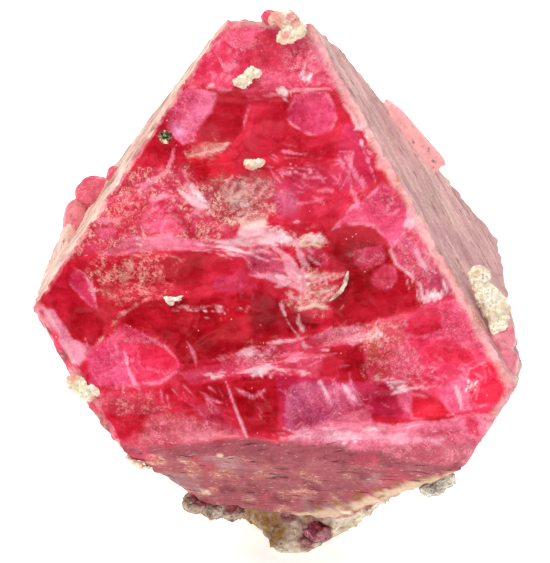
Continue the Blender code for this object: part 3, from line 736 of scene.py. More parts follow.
# painted highlight on the pink lens
zone("#F28CA4", [(-15.2, 4.8), (-14.4, 5.3), (-13.3, 5.1), (-13.2, 4.7), (-14.2, 4.6)], 0.9)
zone("#E04C70", [(-15.3, 4.4), (-13.6, 4.4), (-13.4, 3.6), (-14.6, 3.2)], 0.9, soft=0.08, rim=0.3)
zone("#C83A50", [(-7, 3.6), (-3.4, 3.2), (-2.6, 2.2), (-5, 2.2), (-8.4, 2.4)], 0.9)
zone("#EC6A84", [(-14.6, 2), (-12.2, 3.6), (-9.6, 3.9), (-7.2, 3.6), (-5.4, 3), (-7.6, 2.7),
     (-9.8, 2.7), (-12, 2.5)], 0.95, wander=0.4, lean=(0, 0.2), rim=0.6)
zone("vein", [(-10.6, 3.8), (-9.4, 3.9), (-8.4, 3.5), (-9.6, 3.2), (-10.8, 3.4)], 0.5, soft=0.3)
stroke("milk", [(-6.6, 3.2), (-4.6, 3), (-2.4, 2.4), (-0.6, 1.8)], 0.2, 0.8)
stroke("milk", [(-6, 3.7), (-4.4, 3.4), (-2.8, 3.4)], 0.24, 0.7)
zone("garnet", [(-10.1, 6.8), (-8.6, 6.6), (-7.4, 5.2), (-7.3, 4.4), (-8.4, 5.2), (-9.6, 6)], 0.7,
     soft=0.15)
zone("crimson", [(-15.8, 2), (-13, 2.2), (-9.4, 2.4), (-7.6, -1), (-10.2, -1.6), (-13.4, -2.6),
     (-15.4, -0.4)], 0.95, soft=0.3, wander=1.4, rough=0.5, streaks=(30, 0.3, 0.5))
zone("crimson", [(-6.6, 2.2), (-2.4, 2), (-2, -1), (-5.2, -1.4), (-9.2, -1.4), (-8, 0)], 1,
     sink=0.1)
zone("garnet", [(-9.4, 1.6), (-8.4, 2.5), (-6.8, 2.5), (-6, 1.4), (-6.2, -0.2), (-7.6, -0.6),
     (-9.2, 0.1)], 1, wander=0.4, soft=0.15, lean=(0.1, 0.05), sink=0.15)
zone("#CC3A5C", [(-5.2, 0.4), (-2.6, 0.8), (-1.4, -0.4), (-3.4, -1), (-5.2, -0.6)], 0.85, soft=0.2,
     streaks=(5, 0.5, 0.5))
zone("#DC4068", [(-16.8, 0.9), (-15.9, 0.4), (-15.2, -1.1), (-14.8, -2.5), (-15.4, -2.2), (-16.1, -1.5),
     (-17.3, -0.3)], 0.95, wander=0.3, lean=(0.2, 0), rim=0.4, streaks=(-60, 0.3, 0.7))
stroke("vein", [(-15.9, 0.4), (-15.2, -1), (-14.8, -2.5)], 0.2, 0.9)
zone("garnet", [(-17.3, -3.4), (-16.6, -2.6), (-14.9, -2.6), (-13.8, -3.8), (-14.9, -5.9),
     (-16.2, -5), (-17.2, -4.1)], 1, wander=0.3, lean=(0.1, 0.1), sink=0.2)
zone("#C04040", [(-14.6, -0.4), (-13.2, -0.6), (-12.4, -2), (-13.8, -2.4)], 0.6, rough=0.4)
zone("#F09CB0", [(-20, -2.6), (-18.4, -2.8), (-16.9, -5), (-15, -6.1), (-16.2, -7.4),
     (-18.6, -6.4)], 0.9,
     wander=0.6, lean=(0.1, 0.1), streaks=(-60, 0.4, 0.7))
stroke("tan", [(-10.4, -1.4), (-12.1, -2.6), (-13.5, -3.8), (-14.3, -4.8), (-15, -5.8)], 0.3, 0.9,
       wander=0.9, rough=0.4)
stroke("cream", [(-11.4, -2.2), (-12.4, -2.8), (-13, -3.4)], 0.24, 0.8, wander=0.9, rough=0.4)
say_painted("left band and shoulder")

# %% [markdown]
# The largest clear window lies in the middle. The field to its left glows pink, because the crystal
# is thin there and light passes through it.

# %% Hot pink field and the dark centre
zone("garnet", [(-13.6, -3.4), (-11.2, -1.8), (-2, -0.9), (0.4, -1.8), (3.8, -3.6), (0.4, -4.6),
     (-3.6, -5.8), (-7.8, -7.2), (-8.4, -5.6), (-10.4, -4.2), (-12.4, -3.8)], 0.95, wander=0.4)
zone("garnet", [(-6, -1.8), (-1.9, -1.4), (-1.8, -4.2), (-2.6, -5.5), (-4.8, -6.4), (-7, -7),
     (-8.2, -5.6), (-6.6, -4.2)], 1, wander=0.4, lean=(0.06, 0.1), sink=0.1)
zone("cherry", [(-4.6, -3), (-2.4, -2.6), (-2, -4.2), (-3, -5.2), (-5.4, -5)], 0.6, soft=0.4)
zone("#A01020", [(-1.8, -0.8), (-0.5, -0.8), (0.4, -1.8), (1.7, -2.1), (2.7, -2.8), (3.8, -3.5),
     (1.3, -4.2), (-1.6, -4.4), (-1.8, -2.1)], 0.9, soft=0.2, sink=0.1)
shards("#E8788C", (-5.4, -2.3), (3.2, 0.3), 26, 0.5, 5, 0.14, 0.6, 30, 0.3)
zone("#DC4264", [(-14.9, -5.8), (-13.2, -4.2), (-12.4, -3.8), (-9.4, -5.2), (-8.4, -6.4), (-10.6, -6),
     (-12.4, -6.2)], 0.95, wander=0.4, rough=0.2)
zone("hot pink", [(-15.4, -6.2), (-14, -5.2), (-11, -5.6), (-8.4, -6.2), (-7.4, -7.2), (-8, -7.8),
     (-9.4, -8.8), (-12, -9), (-15.4, -9.2)], 0.95, lean=(0.05, 0.1))
zone("#E65078", [(-15.4, -6.4), (-13.4, -5), (-12.4, -6), (-12, -8.6), (-13.4, -9.2),
     (-15.2, -9)], 0.85, soft=0.15, lean=(0.1, 0))
zone("#E83050", [(-11.4, -5.2), (-9.4, -5.2), (-7.8, -7), (-9, -7.8), (-11.4, -7.4)], 0.9,
     soft=0.15, rim=0.3)
stroke("#F49CB8", [(-12.4, -6.2), (-12.1, -7.4), (-11.6, -8.6), (-10.8, -9.9)], 0.32, 0.8)
stroke("vein", [(-12.4, -3.9), (-10.6, -4.8), (-9, -5.6), (-7.9, -6.8)], 0.12, 0.5)
stroke("vein", [(-14.6, -9.3), (-11.4, -9.1), (-9.2, -8.6), (-7.6, -7.4)], 0.24, 0.5, rough=0.2)
say_painted("hot pink field and the dark centre")

# %% [markdown]
# A long ledge climbs from left to right and catches the light all along. It is a streaked rose band
# with darker windows, crushed patches and milky lines on its lip.

# %% Ledge band
zone("rose", [(-8, -7.8), (-5, -6.9), (-1.8, -5.7), (0.4, -4.7), (4.6, -4.2), (8, -3.4),
     (13.6, -1.4), (15.2, -0.8), (17.6, -4), (17, -6.6), (13.4, -8.4), (8.2, -8.6), (2.8, -8),
     (-2, -8.2), (-6.6, -8.6)], 0.9, streaks=(12, 0.4, 0.8))
zone("#C23446", [(-0.4, -5.1), (3.8, -4.6), (4.2, -7.6), (1.8, -7.7), (-0.2, -7), (-1.6, -6.6)], 0.85,
     soft=0.15, streaks=(10, 0.4, 0.6))
zone("garnet", [(4.1, -5.4), (7.5, -5.2), (7.9, -8.3), (5.5, -8.4), (4.1, -7.8)], 0.95, wander=0.9,
     soft=0.15, lean=(-0.08, 0))
zone("#E06078", [(-3.8, -6.4), (-2.2, -5.6), (0, -5), (-0.4, -6.4), (-2.6, -7.2)], 0.8, rough=0.3)
stroke("milk", [(-4.6, -6.6), (-2.6, -5.8), (-0.6, -5), (1.6, -4.7), (3.4, -4.3)], 0.2, 0.7,
       rise=0.08, rough=0.3)
shards("milk", (-1.4, -5.8), (1.4, 0.5), 26, 0.5, 15, 0.12, 0.8, 30, 0.4)
stroke("milk", [(-4.9, -8), (-3.2, -7.7), (-1.6, -7.6), (-0.3, -7.2), (1.5, -7.6), (2, -7.9)], 0.34,
       0.85, wander=1.2, rise=0.1, rough=0.4)
zone("#DA6A80", [(2.2, -4.4), (5.6, -3.7), (5.9, -4.8), (4.4, -5.2)], 0.7, rough=0.3)
zone("#EFA4B0", [(5.9, -3.7), (7.6, -3.4), (7.8, -4.6), (6.6, -5.1), (5.9, -4.8)], 0.7, wander=1.2,
     rough=0.5, streaks=(15, 0.6, 0.4))
zone("#D84C5C", [(7.6, -3.4), (11, -2.6), (11.4, -4.2), (10.2, -5.4), (10.4, -7), (9, -8.6),
     (8.3, -7), (7.7, -5.4)], 0.95, wander=1.6, soft=0.2, rough=0.25)
zone("#DC2C48", [(11, -2.9), (12.8, -2.2), (14, -2.6), (14.2, -3.8), (12.6, -4.6), (11.2, -4.2)],
     0.85, wander=0.9, lean=(0.1, 0.1), rim=0.5)
zone("#E85876", [(13.8, -1.6), (15.4, -1.2), (17.4, -4), (18.4, -5.4), (16.6, -5.6), (14.8, -4.8),
     (14, -3.4)], 0.95, rim=0.3, streaks=(-50, 0.3, 0.8))
say_painted("ledge band")

# %% [markdown]
# The right tip is thin and clear, and glows a strong pinkish red. Its chips have painted highlight rims.

# %% Right tip
zone("#EA3A5C", [(11.2, -4.6), (14, -4.4), (17.4, -5.4), (19.2, -6), (20.6, -9), (20.4, -11),
     (18.4, -13.2), (16.6, -12.8), (15, -11), (13, -9), (11, -8)], 0.95, rim=0.3)
zone("#E8304C", [(12.8, -5.2), (16.4, -5.2), (17, -6.2), (15.2, -6.8), (13, -6.6)], 0.95, soft=0.12,
     rim=0.3)
zone("#DC506C", [(10, -5.4), (12, -5.6), (12.4, -7.6), (10.4, -8.2), (9.6, -7)], 0.8, rough=0.4,
     rim=0.3)
zone("#EE2C4A", [(16.3, -7), (18.2, -6.1), (19.2, -7), (19.8, -8.3), (18.8, -9.9), (17, -10.4),
     (16.2, -8.9)], 0.95, wander=0.4, lean=(0.1, 0.05), rim=0.6)
zone("#F25A80", [(13.8, -8.6), (15.4, -8), (16.1, -9), (16.6, -10.6), (15.2, -10.8), (14.2, -10)],
     0.9, wander=0.4, lean=(-0.1, 0.05), rim=0.5)
stroke("milk", [(15.2, -8.4), (15.6, -9.4), (15.8, -10.6)], 0.18, 0.8)
stroke("vein", [(16.8, -10.9), (18.4, -11.2), (20, -10.8)], 0.2, 0.8)
say_painted("right tip")

# %% [markdown]
# Two dark windows and a lilac one are set in an even red, and the lowest strip is pale, because the
# skin of the under face begins there.

# %% Lower field
zone("crimson", [(-16.2, -9.2), (-9.4, -9), (-5.6, -8.8), (0.6, -8), (0.6, -12.6), (-2, -13.6),
     (-6.6, -13.2), (-10.4, -12.8), (-13.4, -12.2), (-15.6, -11.4)], 0.95, streaks=(0, 0.3, 0.8))
zone("garnet", [(-10.2, -9.2), (-6.2, -8.8), (-3.9, -8.5), (-3.4, -9.8), (-4.6, -10.2), (-6.8, -9.8)],
     0.95, wander=0.4)
zone("garnet", [(-3.6, -8.4), (-1.6, -8.1), (0.2, -8), (0.6, -10.3), (0.4, -12.6), (-1.9, -13.2),
     (-2.7, -11)], 1, wander=0.2, soft=0.08, lean=(0.05, 0.1))
zone("#C83A54", [(-7.2, -10.2), (-4.4, -10.6), (-3, -12.6), (-5.6, -12.2)], 0.8, soft=0.2)
zone("#CE4256", [(-15.8, -9.6), (-10, -9.8), (-8.4, -11.6), (-12.6, -11.6), (-15.4, -11)], 0.8,
     rough=0.35, streaks=(0, 0.5, 0.6))
zone("#F09CA6", [(-10.4, -12.2), (-7.4, -11.4), (-4.4, -12.2), (-3.2, -13.2), (-5.8, -14),
     (-11, -13.8)], 0.7, soft=1, wander=2, streaks=(10, 0.5, 1.2))
stroke("#F4B0C0", [(-3.9, -8.4), (-3.4, -9.8), (-3, -10.8), (-2, -13.2)], 0.18, 0.9, wander=0.2)
stroke("vein", [(-5.4, -10), (-3.4, -10.5)], 0.16, 0.6)
zone("magenta", [(0.2, -8), (4.1, -8.2), (8.4, -8.4), (11.6, -8.6), (12, -11.6), (8.8, -11),
     (5.3, -12.4), (0.8, -12.8), (0.6, -10.2)], 0.95, wander=0.3)
zone("lilac", [(1.4, -8.6), (4, -8.6), (6.8, -8.6), (7.4, -10.4), (5.2, -11.2), (4.2, -12.4),
     (1.4, -12.4), (1.2, -10.2)], 0.9, soft=0.25, lean=(0, 0.1), streaks=(-30, 0.4, 0.9))
zone("#C8406C", [(3.6, -9), (4.8, -9.6), (5, -11), (3.6, -11.6), (2.6, -10.4)], 0.5, soft=0.3)
zone("#EA6484", [(10.6, -9), (11.6, -9.2), (11.4, -10.8), (10.8, -10.4)], 0.8, rim=0.4)
zone("cherry", [(11.6, -9.2), (14.1, -9.6), (15.2, -11), (13.6, -11.3), (11.6, -11.3)], 0.95,
     wander=0.3, lean=(0.05, 0.1), rim=0.4)
zone("garnet", [(12.8, -9.6), (14.1, -9.7), (15, -10.9), (13.8, -11)], 0.5, soft=0.25)
stroke("milk", [(4, -8.4), (4.6, -9.6), (5.3, -10.9)], 0.18, 0.8)
stroke("milk", [(5.9, -8.6), (6.5, -9.4), (7.1, -9.9)], 0.18, 0.8)
zone("#F07E96", [(4.6, -11.6), (7.9, -10.6), (8.5, -12), (13.4, -11.5), (16.3, -11), (18.6, -11.6),
     (18.2, -14.2), (12, -14.6), (4.8, -14), (0.8, -13.6), (2.8, -12.6)], 0.95, soft=0.12,
     streaks=(5, 0.3, 1), rim=0.3)
zone("#D85870", [(9.4, -13), (14, -12.4), (16, -12), (17.6, -13.4), (15.4, -14.6),
     (9, -14.4)], 0.6, soft=0.3, streaks=(-5, 0.5, 0.6))
zone("#C4606E", [(4.8, -13.9), (10, -13.8), (15, -13.5), (18.6, -12.8), (17.6, -15.4),
     (12, -16), (5, -15)], 0.9, soft=0.4, rough=0.2)
zone("#FBB6C4", [(0.6, -13), (4.8, -12.5), (8.4, -12.6), (14.4, -13), (14.2, -13.5), (8.4, -13.3),
     (4.8, -13.4), (0.8, -13.4)], 0.6, soft=0.25)
zone("#DA3050", [(16.2, -11.2), (17.2, -11.6), (17.4, -12.9), (16.4, -12.6)], 0.85)
say_painted("lower field")

# %% [markdown]
# ### Splinters and shards
# Crushed glass is full of fine splinters, each of which flashes at its own angle. They are laid in
# sprays over the painted zones, with dice that always start from the same seed, and the last strokes
# draw the few cracks that stand out one by one. The near-white sprays are painted glints, where
# the splinters flash.

# %% Splinters and shards
shards("milk", (-0.6, 4), (2.2, 1.2), 26, 1.1, 20, 0.22, 0.9, rough=0.3)
shards("cream", (3.2, 3.7), (1.3, 0.6), 16, 0.8, 5, 0.16, 0.8, rough=0.5)
shards("milk", (2.2, 0.6), (2.4, 2.2), 34, 0.9, -35, 0.15, 0.7)
shards("tan", (3.4, -0.8), (2.2, 1.6), 26, 0.8, 40, 0.15, 0.7, rough=0.5)
shards("wine", (3.4, 0.4), (2.4, 2.6), 22, 0.6, 20, 0.14, 0.6)
shards("#F2CCBC", (-3, 7), (2.6, 1.7), 70, 0.9, 45, 0.09, 0.9, 24)
shards("#7A3038", (-3, 7.2), (3, 1.8), 40, 0.7, 40, 0.14, 0.6, 40)
shards("#E8B4A0", (-12, 0.4), (3.8, 2.2), 50, 0.8, 40, 0.08, 0.8, 50)
shards("vein", (-10.6, 6.6), (4.2, 2.2), 46, 1.1, 35, 0.12, 0.6, 30)
shards("vein", (-9.6, 3.2), (4.4, 0.5), 18, 1.6, 8, 0.1, 0.6, 10)
shards("milk", (-3.6, 2.4), (3, 1), 16, 1.2, -14, 0.1, 0.6, 14)
shards("milk", (7.4, 13.4), (1, 3), 40, 0.7, -60, 0.11, 0.7, 30)
shards("vein", (2.6, 18.4), (1.8, 1.8), 34, 0.7, 50, 0.12, 0.6, 50)
shards("vein", (-4.4, 18), (2.6, 2.2), 26, 0.9, 55, 0.12, 0.5, 30)
shards("vein", (2, 9.4), (3.6, 2.4), 40, 1.2, -12, 0.1, 0.5, 20)
shards("vein", (6, 9), (1.2, 2), 16, 1, -65, 0.1, 0.6, 15)
shards("vein", (8, 6.4), (1.8, 1.2), 24, 0.6, 50, 0.1, 0.6, 40)
shards("milk", (12.4, 1.4), (1.4, 2.4), 24, 0.8, -60, 0.13, 0.6, 25)
shards("#E8908C", (8.8, -4.4), (1.4, 1.2), 36, 0.7, 35, 0.13, 0.8, 45, 0.5)
shards("#C86450", (8.4, -6), (0.9, 2), 34, 0.8, 75, 0.13, 0.7, 25, 0.4)
shards("vein", (0, -6.6), (6, 1), 34, 1.6, 13, 0.13, 0.6, 8)
shards("milk", (-1.4, -7.7), (4, 0.4), 26, 0.8, 8, 0.14, 0.7, 14, 0.3)
shards("vein", (12.6, -7.4), (3.4, 1.8), 30, 1, -10, 0.12, 0.6, 30)
shards("milk", (10.6, -8.6), (2.4, 0.5), 16, 0.8, 5, 0.13, 0.7, 15)
shards("vein", (5.6, -9.8), (4.4, 1.4), 30, 1.3, -50, 0.1, 0.6, 25)
shards("vein", (-4.6, -10.8), (4.6, 1.6), 24, 1.1, -60, 0.1, 0.5, 25)
shards("milk", (7, -12.7), (6.4, 0.7), 24, 1.8, 4, 0.1, 0.5, 8)
shards("vein", (-13, -7.4), (2.6, 2.2), 22, 1.3, -60, 0.12, 0.5, 35)
shards("vein", (17, -8.8), (1.8, 2.2), 18, 1.2, -50, 0.12, 0.5, 40)
stroke("milk", [(0.5, -1.9), (1, -3), (1.5, -3.8), (2.7, -5.2), (4.6, -5.7)], 0.15, 0.6, wander=1.2,
       rough=0.2)
stroke("milk", [(2.1, -2), (1.9, -3.2), (2.4, -4), (3.4, -4.6)], 0.14, 0.6, wander=1.2)
stroke("cream", [(2.1, -2.2), (3.4, -1.9), (4.8, -2.1)], 0.2, 0.85, rough=0.2)
stroke("shell", [(1.4, 4.4), (1.8, 3), (2.4, 1.8), (2.2, 0.6)], 0.24, 0.7, rough=0.2)
stroke("vein", [(-13.9, 2.1), (-11.8, 2.7), (-9.8, 3), (-7.6, 2.8)], 0.16, 0.9)
stroke("vein", [(-3.2, -9), (-1.6, -9.8), (-0.6, -9.2)], 0.1, 0.6)
stroke("vein", [(1, -9.2), (2, -9.8), (2.8, -9.4), (3.6, -10.4)], 0.1, 0.6)
stroke("vein", [(-7.4, -4.9), (-6.6, -6.2), (-6.4, -7.4)], 0.1, 0.5)
stroke("vein", [(5.2, 8), (6, 9.4), (6.2, 11)], 0.1, 0.5)
stroke("vein", [(-5.8, 19.8), (-4.6, 18), (-5.4, 16.6)], 0.1, 0.6)
stroke("vein", [(1, 20.4), (1.6, 19.2), (0.9, 18)], 0.1, 0.6)
# painted glints: near-white sprays of splinters that stand in for flashes of light
PAINTED_GLINTS = (  # where fine splinters flash: across, up, reach, turn
    (-1.4, -5.9, 0.9, 15), (3.2, 3.8, 1, 5), (-11.2, 3.2, 0.8, 8), (0.3, 16.1, 0.7, 15),
    (11.8, 5.6, 0.5, -60), (13.2, -0.6, 0.7, -80), (9.6, -8.2, 1.2, 5), (-4.6, -2.4, 1.8, 5),
    (1.8, 9.6, 1, -10), (0.6, 4, 1, 40), (-6.8, 7, 0.8, -40), (-2.4, 6.6, 1.4, 45),
    (3, 0.2, 1.2, 30), (6.6, -13, 2.6, 3), (-12, -7, 0.6, -85), (7.6, 12.4, 0.8, -60),
    (2.2, 17.4, 0.8, 70), (8.4, -4.6, 1.2, 60), (-0.6, -7.4, 2, 10), (16.6, -8.4, 0.6, -50),
)
for x, y, reach, turn in PAINTED_GLINTS:
    shards("#FFF0EE", (x, y), (reach, 0.35 * reach + 0.2), 12, 0.22, turn, 0.09, 1.0, 30)
stroke("milk", [(-8.6, 8), (-7.8, 7.3), (-6.8, 6.5), (-5.8, 6.3)], 0.36, 0.9, rise=0.08)
stroke("shell", [(-10.6, 6.8), (-9.4, 7.1), (-8.2, 7.1)], 0.26, 0.8)
stroke("vein", [(-8.8, 11.2), (-8.9, 10.2), (-9.3, 9.2), (-10.5, 8.4), (-11.6, 7.7)], 0.28, 0.8)
stroke("shell", [(-8, 9.4), (-7.5, 8.4), (-8.4, 7.6)], 0.28, 0.7)
print("grit covers", round(float((grit > 0.3).mean()), 2), "of the break")

# %% [markdown]
# ### Pale skin along the break's edges
# The break ends in the etched skin of the faces round it. Below the under line the skin itself is
# painted, and a thin pale border runs along the other edges, wider on the right. The whole break is
# then turned a little cooler, which is easier than doing so in each of its patches.

# %% Pale skin along the break's edges
UNDER_LINE = (  # across and up: below this line the skin of the under face begins
    (-20, -13), (-12.6, -14.3), (-7.9, -14.1), (-3.3, -13.4),
    (3, -13.6), (9, -14.3), (14.7, -15.4),
)
COOLER = (0.88, 0.99, 1.04)
below = np.interp(FRONT_X, *zip(*UNDER_LINE)) - FRONT_Y + 1.2 * WANDER
under_skin = ramp(-0.3, 0.3, below)
lay_on(0.3 * ramp(-0.6, 0.2, below) * (1 - under_skin), "shell")
lay_on(under_skin, "#A4545C")
grit *= 1 - under_skin
EDGE_SKIN = inset[is_front] + 0.8 * WANDER
right_side = ramp(6.0, 9.0, FRONT_X * 0.8 + FRONT_Y * 0.5)
right_side *= ramp(-12.5, -10.5, FRONT_Y)
lay_on(0.75 * right_side * ramp(0.95, 0.35, EDGE_SKIN), "#F0BCB4")
lay_on(0.3 * ramp(0.25, 0.0, EDGE_SKIN) * (1 - under_skin), "shell")
tone *= COOLER
print("painted", len(FRONT_AT), "points of the break")

# %% [markdown]
# ## The flat faces
# Octahedron faces of natural spinel are not polished: they are etched and striated, with a pale
# frosted skin and thin dark slivers along the growth steps. The mesh carries the broad waviness
# here, and the slivers come later, in the material.

# %% Relief and tone of the flat faces
# the left face's pale skin is partly painted light, where the key lamp falls, and the right face's dusky
# skin and the under face's mauve are partly painted shade; each also holds the skin's own colour
FACE_TONES = {
    "left": "lit pale skin", "right": "shaded dusky skin", "under": "mauve", "crown": "shell",
    "lower_left_bevel": "rose", "left_corner": "#C8788C", "right_corner": "#D08890",
}
OTHER_TONE = "#B4485A"  # the old breaks behind
DEPTH_AT_EDGE = 0.5  # mm over which relief fades out towards an edge
LEDGE_CLIMB = 9.0  # degrees by which the ledges of the break climb to the right

height = np.zeros(len(points))
colour = np.zeros((len(points), 4))
colour[:, 3] = 1
rough_skin = np.zeros(len(points))
etched = np.zeros(len(points))
lay_axes = np.zeros((len(points), 3))

height[is_front] = relief * ramp(0.0, DEPTH_AT_EDGE * 2, inset[is_front])
colour[is_front, :3] = tone
rough_skin[is_front] = grit
etched[is_front] = under_skin
lay_axes[is_front, :2] = np.column_stack(turned_rulers(FRONT_X, FRONT_Y, LEDGE_CLIMB))
for tag, (name, normal, away) in enumerate(FACES):
    if tag == FRONT:
        continue
    here = tag_of == tag
    at = points[here]
    waves = 0.16 * sway(at, 2.4, tag) + 0.08 * sway(at, 0.9, tag + 20)
    height[here] = waves * ramp(0.0, DEPTH_AT_EDGE, inset[here])
    colour[here, :3] = tint(FACE_TONES.get(name, OTHER_TONE))
    etched[here] = 1.0
    along = normal.cross(OUT).normalized()
    beside = normal.cross(along)
    rulers = (at @ np.array(along), at @ np.array(beside), 0 * at[:, 0] + tag * 9.7)
    lay_axes[here] = np.column_stack(rulers)
normals = np.array([tuple(normal) for name, normal, away in FACES])
points += normals[tag_of] * height[:, None]
print("flat faces toned:", ", ".join(FACE_TONES))

# %% [markdown]
# ### Dabs and blotches
# Marks on the flat faces are placed as they are seen by the camera: a place in the frame is
# followed along the line of sight until it meets the face. A dab is a ragged spot there, and
# blotches are clouded patches all over a face.

# %% Dabs and blotches
VIEW_UP = np.array(sight.cross(Vector((1, 0, 0))))


def seen_on(name, x, y):
    """The point of a flat face seen at x, y mm from the middle of the frame."""
    normal, away = next((np.array(n), d) for label, n, d in FACES if label == name)
    start = np.array((x, 0, 0)) + VIEW_UP * y
    return start + np.array(sight) * (away - start @ normal) / (np.array(sight) @ normal)


def blend(rows, code, mask):
    """Turns the tone of these points towards a colour."""
    colour[rows, :3] += (tint(code) - colour[rows, :3]) * mask[:, None]


def dab(place, radius, code, strength=1.0, skin=None, rough=None):
    """Paints a ragged spot on whatever faces lie within radius of the place."""
    reach = np.linalg.norm(points - place, axis=1)
    near = np.nonzero(reach < radius * 1.6)[0]
    ragged = 0.35 * radius * sway(points[near], 0.5 * radius + 0.15, 61)
    mask = strength * ramp(radius, 0.5 * radius, reach[near] + ragged)
    blend(near, code, mask)
    if skin is not None:
        etched[near] += (skin - etched[near]) * mask
    if rough is not None:
        rough_skin[near] += (rough - rough_skin[near]) * mask


def dabs(name, spots, code, strength, **look):
    """Ragged spots on one face, each x, y in the frame and a radius, in mm."""
    for x, y, radius in spots:
        dab(seen_on(name, x, y), radius, code, strength, **look)


def dab_line(name, line, radius, code, strength=1.0, **look):
    """A row of dabs along a line on one face."""
    for (x0, y0), (x1, y1) in zip(line, line[1:]):
        steps = max(1, round(math.dist((x0, y0), (x1, y1)) / radius))
        for step in range(steps + 1):
            t = step / steps
            dab(seen_on(name, x0 + (x1 - x0) * t, y0 + (y1 - y0) * t), radius, code, strength, **look)


def blotches(name, code, size, low, high, strength, seed, rough=None):
    """Paints clouded patches of a colour over one flat face."""
    here = np.nonzero(tag_of == FACE_NAMES.index(name))[0]
    clouds = sway(points[here], size, seed) + 0.4 * sway(points[here], size / 3, seed + 1)
    mask = strength * ramp(low, high, clouds)
    blend(here, code, mask)
    if rough is not None:
        rough_skin[here] = np.maximum(rough_skin[here], rough * mask)


print("the middle of the frame on the under face:", seen_on("under", 0, 0).round(1))

# %% [markdown]
# ### Marks on the flat faces
# Each flat face is clouded with a few soft colours first. The under face then gets pink windows,
# cream spots, dark pits and, where it sits in the marble, a sandy crust with rusty spots. The right
# face gets rusty cracks and faint growth lines, and the left one its long dark marks.

# %% Marks on the flat faces
for tag, name in enumerate(FACE_NAMES):
    if name not in FACE_TONES and tag != FRONT:
        blotches(name, "#D8989C", 3.2, 0.0, 0.5, 0.7, 61 + tag)
        blotches(name, "#9A2C40", 2.4, 0.1, 0.5, 0.6, 64 + tag)
        blotches(name, "#D8B0A0", 1.2, 0.25, 0.6, 0.5, 67 + tag, rough=0.5)
blotches("under", "#7C3A42", 2.2, 0.1, 0.5, 0.8, 71)
blotches("under", "#B8485C", 3.0, 0.1, 0.5, 0.6, 73)
# painted sheen: greyish patches that stand in for a reflection on the under face
blotches("under", "#A89090", 3.4, 0.15, 0.5, 0.5, 75)
blotches("under", "#B8806C", 1.6, 0.2, 0.6, 0.6, 77, rough=0.8)
dabs("under", ((13.4, -14.6, 2), (11, -14, 1.6), (-11, -14.6, 1.4), (7.4, -14.8, 1.6)),
     "#D0506A", 0.6)
dabs("under", ((-10.6, -15.2, 0.6), (-9.4, -16.6, 0.7), (-7.6, -14.9, 0.4), (-5.9, -17.6, 0.6),
               (-12, -15.4, 0.5), (-8.2, -17.4, 0.5), (-4.6, -14.6, 0.4), (1.6, -14, 0.3)),
     "#D8BCA4", 0.8, rough=0.9)
dabs("under", ((-4, -17.4, 0.9), (0.4, -18.2, 1.2), (7.4, -16.2, 0.8), (3, -17, 1),
               (9, -14.8, 0.6)), "#6E2A38", 0.7)
CRUST_LINE = [(2.2, -19.8), (4.8, -19.4), (8.0, -18.3), (11.4, -17.1), (14.6, -16.3)]  # the marble's edge
dab_line("under", CRUST_LINE, 1.0, "#CDBD9E", 0.95, skin=0.6, rough=0.15)
dabs("under", ((3.6, -18.8, 0.5), (5.2, -18.5, 0.6), (7, -17.9, 0.7), (8.6, -17.4, 0.6),
               (10.2, -16.8, 0.5), (6, -18.9, 0.5), (8.8, -18, 0.4), (12, -16.4, 0.4)),
     "#8A662E", 0.85, skin=0.8, rough=0.05)
dabs("under", ((3.2, -20, 0.5), (6, -19.3, 0.5), (8.6, -18.6, 0.4), (10.8, -17.7, 0.5),
               (13, -17, 0.4)), "#F0E6D2", 0.85, rough=0.2)

blotches("right", "#D8B8A8", 3.0, 0.0, 0.5, 0.6, 81)
blotches("right", "#B8808C", 2.6, 0.2, 0.6, 0.5, 83)
dab_line("right", [(15.2, 1.8), (16.0, 0.4), (17.0, -1.4)], 0.32, "#9A5A2C", 0.9, rough=0.7)
dab_line("right", [(14.6, 1.0), (15.6, -1.0), (16.6, -2.6), (17.4, -3.8)], 0.3, "#A8703C", 0.6, rough=0.7)
dabs("right", ((10.3, 8.6, 0.35), (11.2, 6.8, 0.3), (10.8, 7.8, 0.25), (12.6, 5, 0.3)),
     "#C08040", 0.9, rough=0.6)
right = np.nonzero(tag_of == FACE_NAMES.index("right"))[0]
growth = sway(lay_axes[right] / (6.0, 0.7, 1), 1.0, 101) * ramp(-2.0, 9.0, up[right])
blend(right, "#F0D4CC", 0.3 * ramp(0.0, 0.3, growth))
colour[right, :3] *= 1 - 0.12 * ramp(0.05, 0.3, -growth)[:, None] * (0.9, 1.1, 1.1)
dabs("right", ((11.9, 10.6, 0.35), (18.9, 0.6, 0.35), (14.2, 8.2, 0.3)), "#A83048", 0.7)

blotches("left", "#F0DCD0", 2.4, 0.0, 0.5, 0.7, 91)
blotches("left", "#C87880", 2.0, 0.2, 0.6, 0.6, 93)
left = np.nonzero(tag_of == FACE_NAMES.index("left"))[0]
along_edge = lay_axes[left] / (4.4, 0.8, 1)
long_marks = ramp(0.1, 0.3, sway(along_edge, 1.0, 98)) + 0.7 * ramp(0.2, 0.4, sway(along_edge, 0.6, 99))
colour[left, :3] *= 1 - np.clip(long_marks, 0, 1)[:, None] * (0.3, 0.42, 0.46)
blotches("lower_left_bevel", "#F0B0B8", 1.8, -0.1, 0.4, 0.8, 95)
blotches("lower_left_bevel", "#7A3038", 1.4, 0.1, 0.5, 0.8, 97, rough=0.7)
print("etched share of all points:", round(float((etched > 0.5).mean()), 2))

# %% [markdown]
# ## Worn edges
# Spinel is brittle, so its long edges are never quite straight: they are bruised all along and
# nicked here and there. Everything near an edge moves a little towards the crystal's heart.

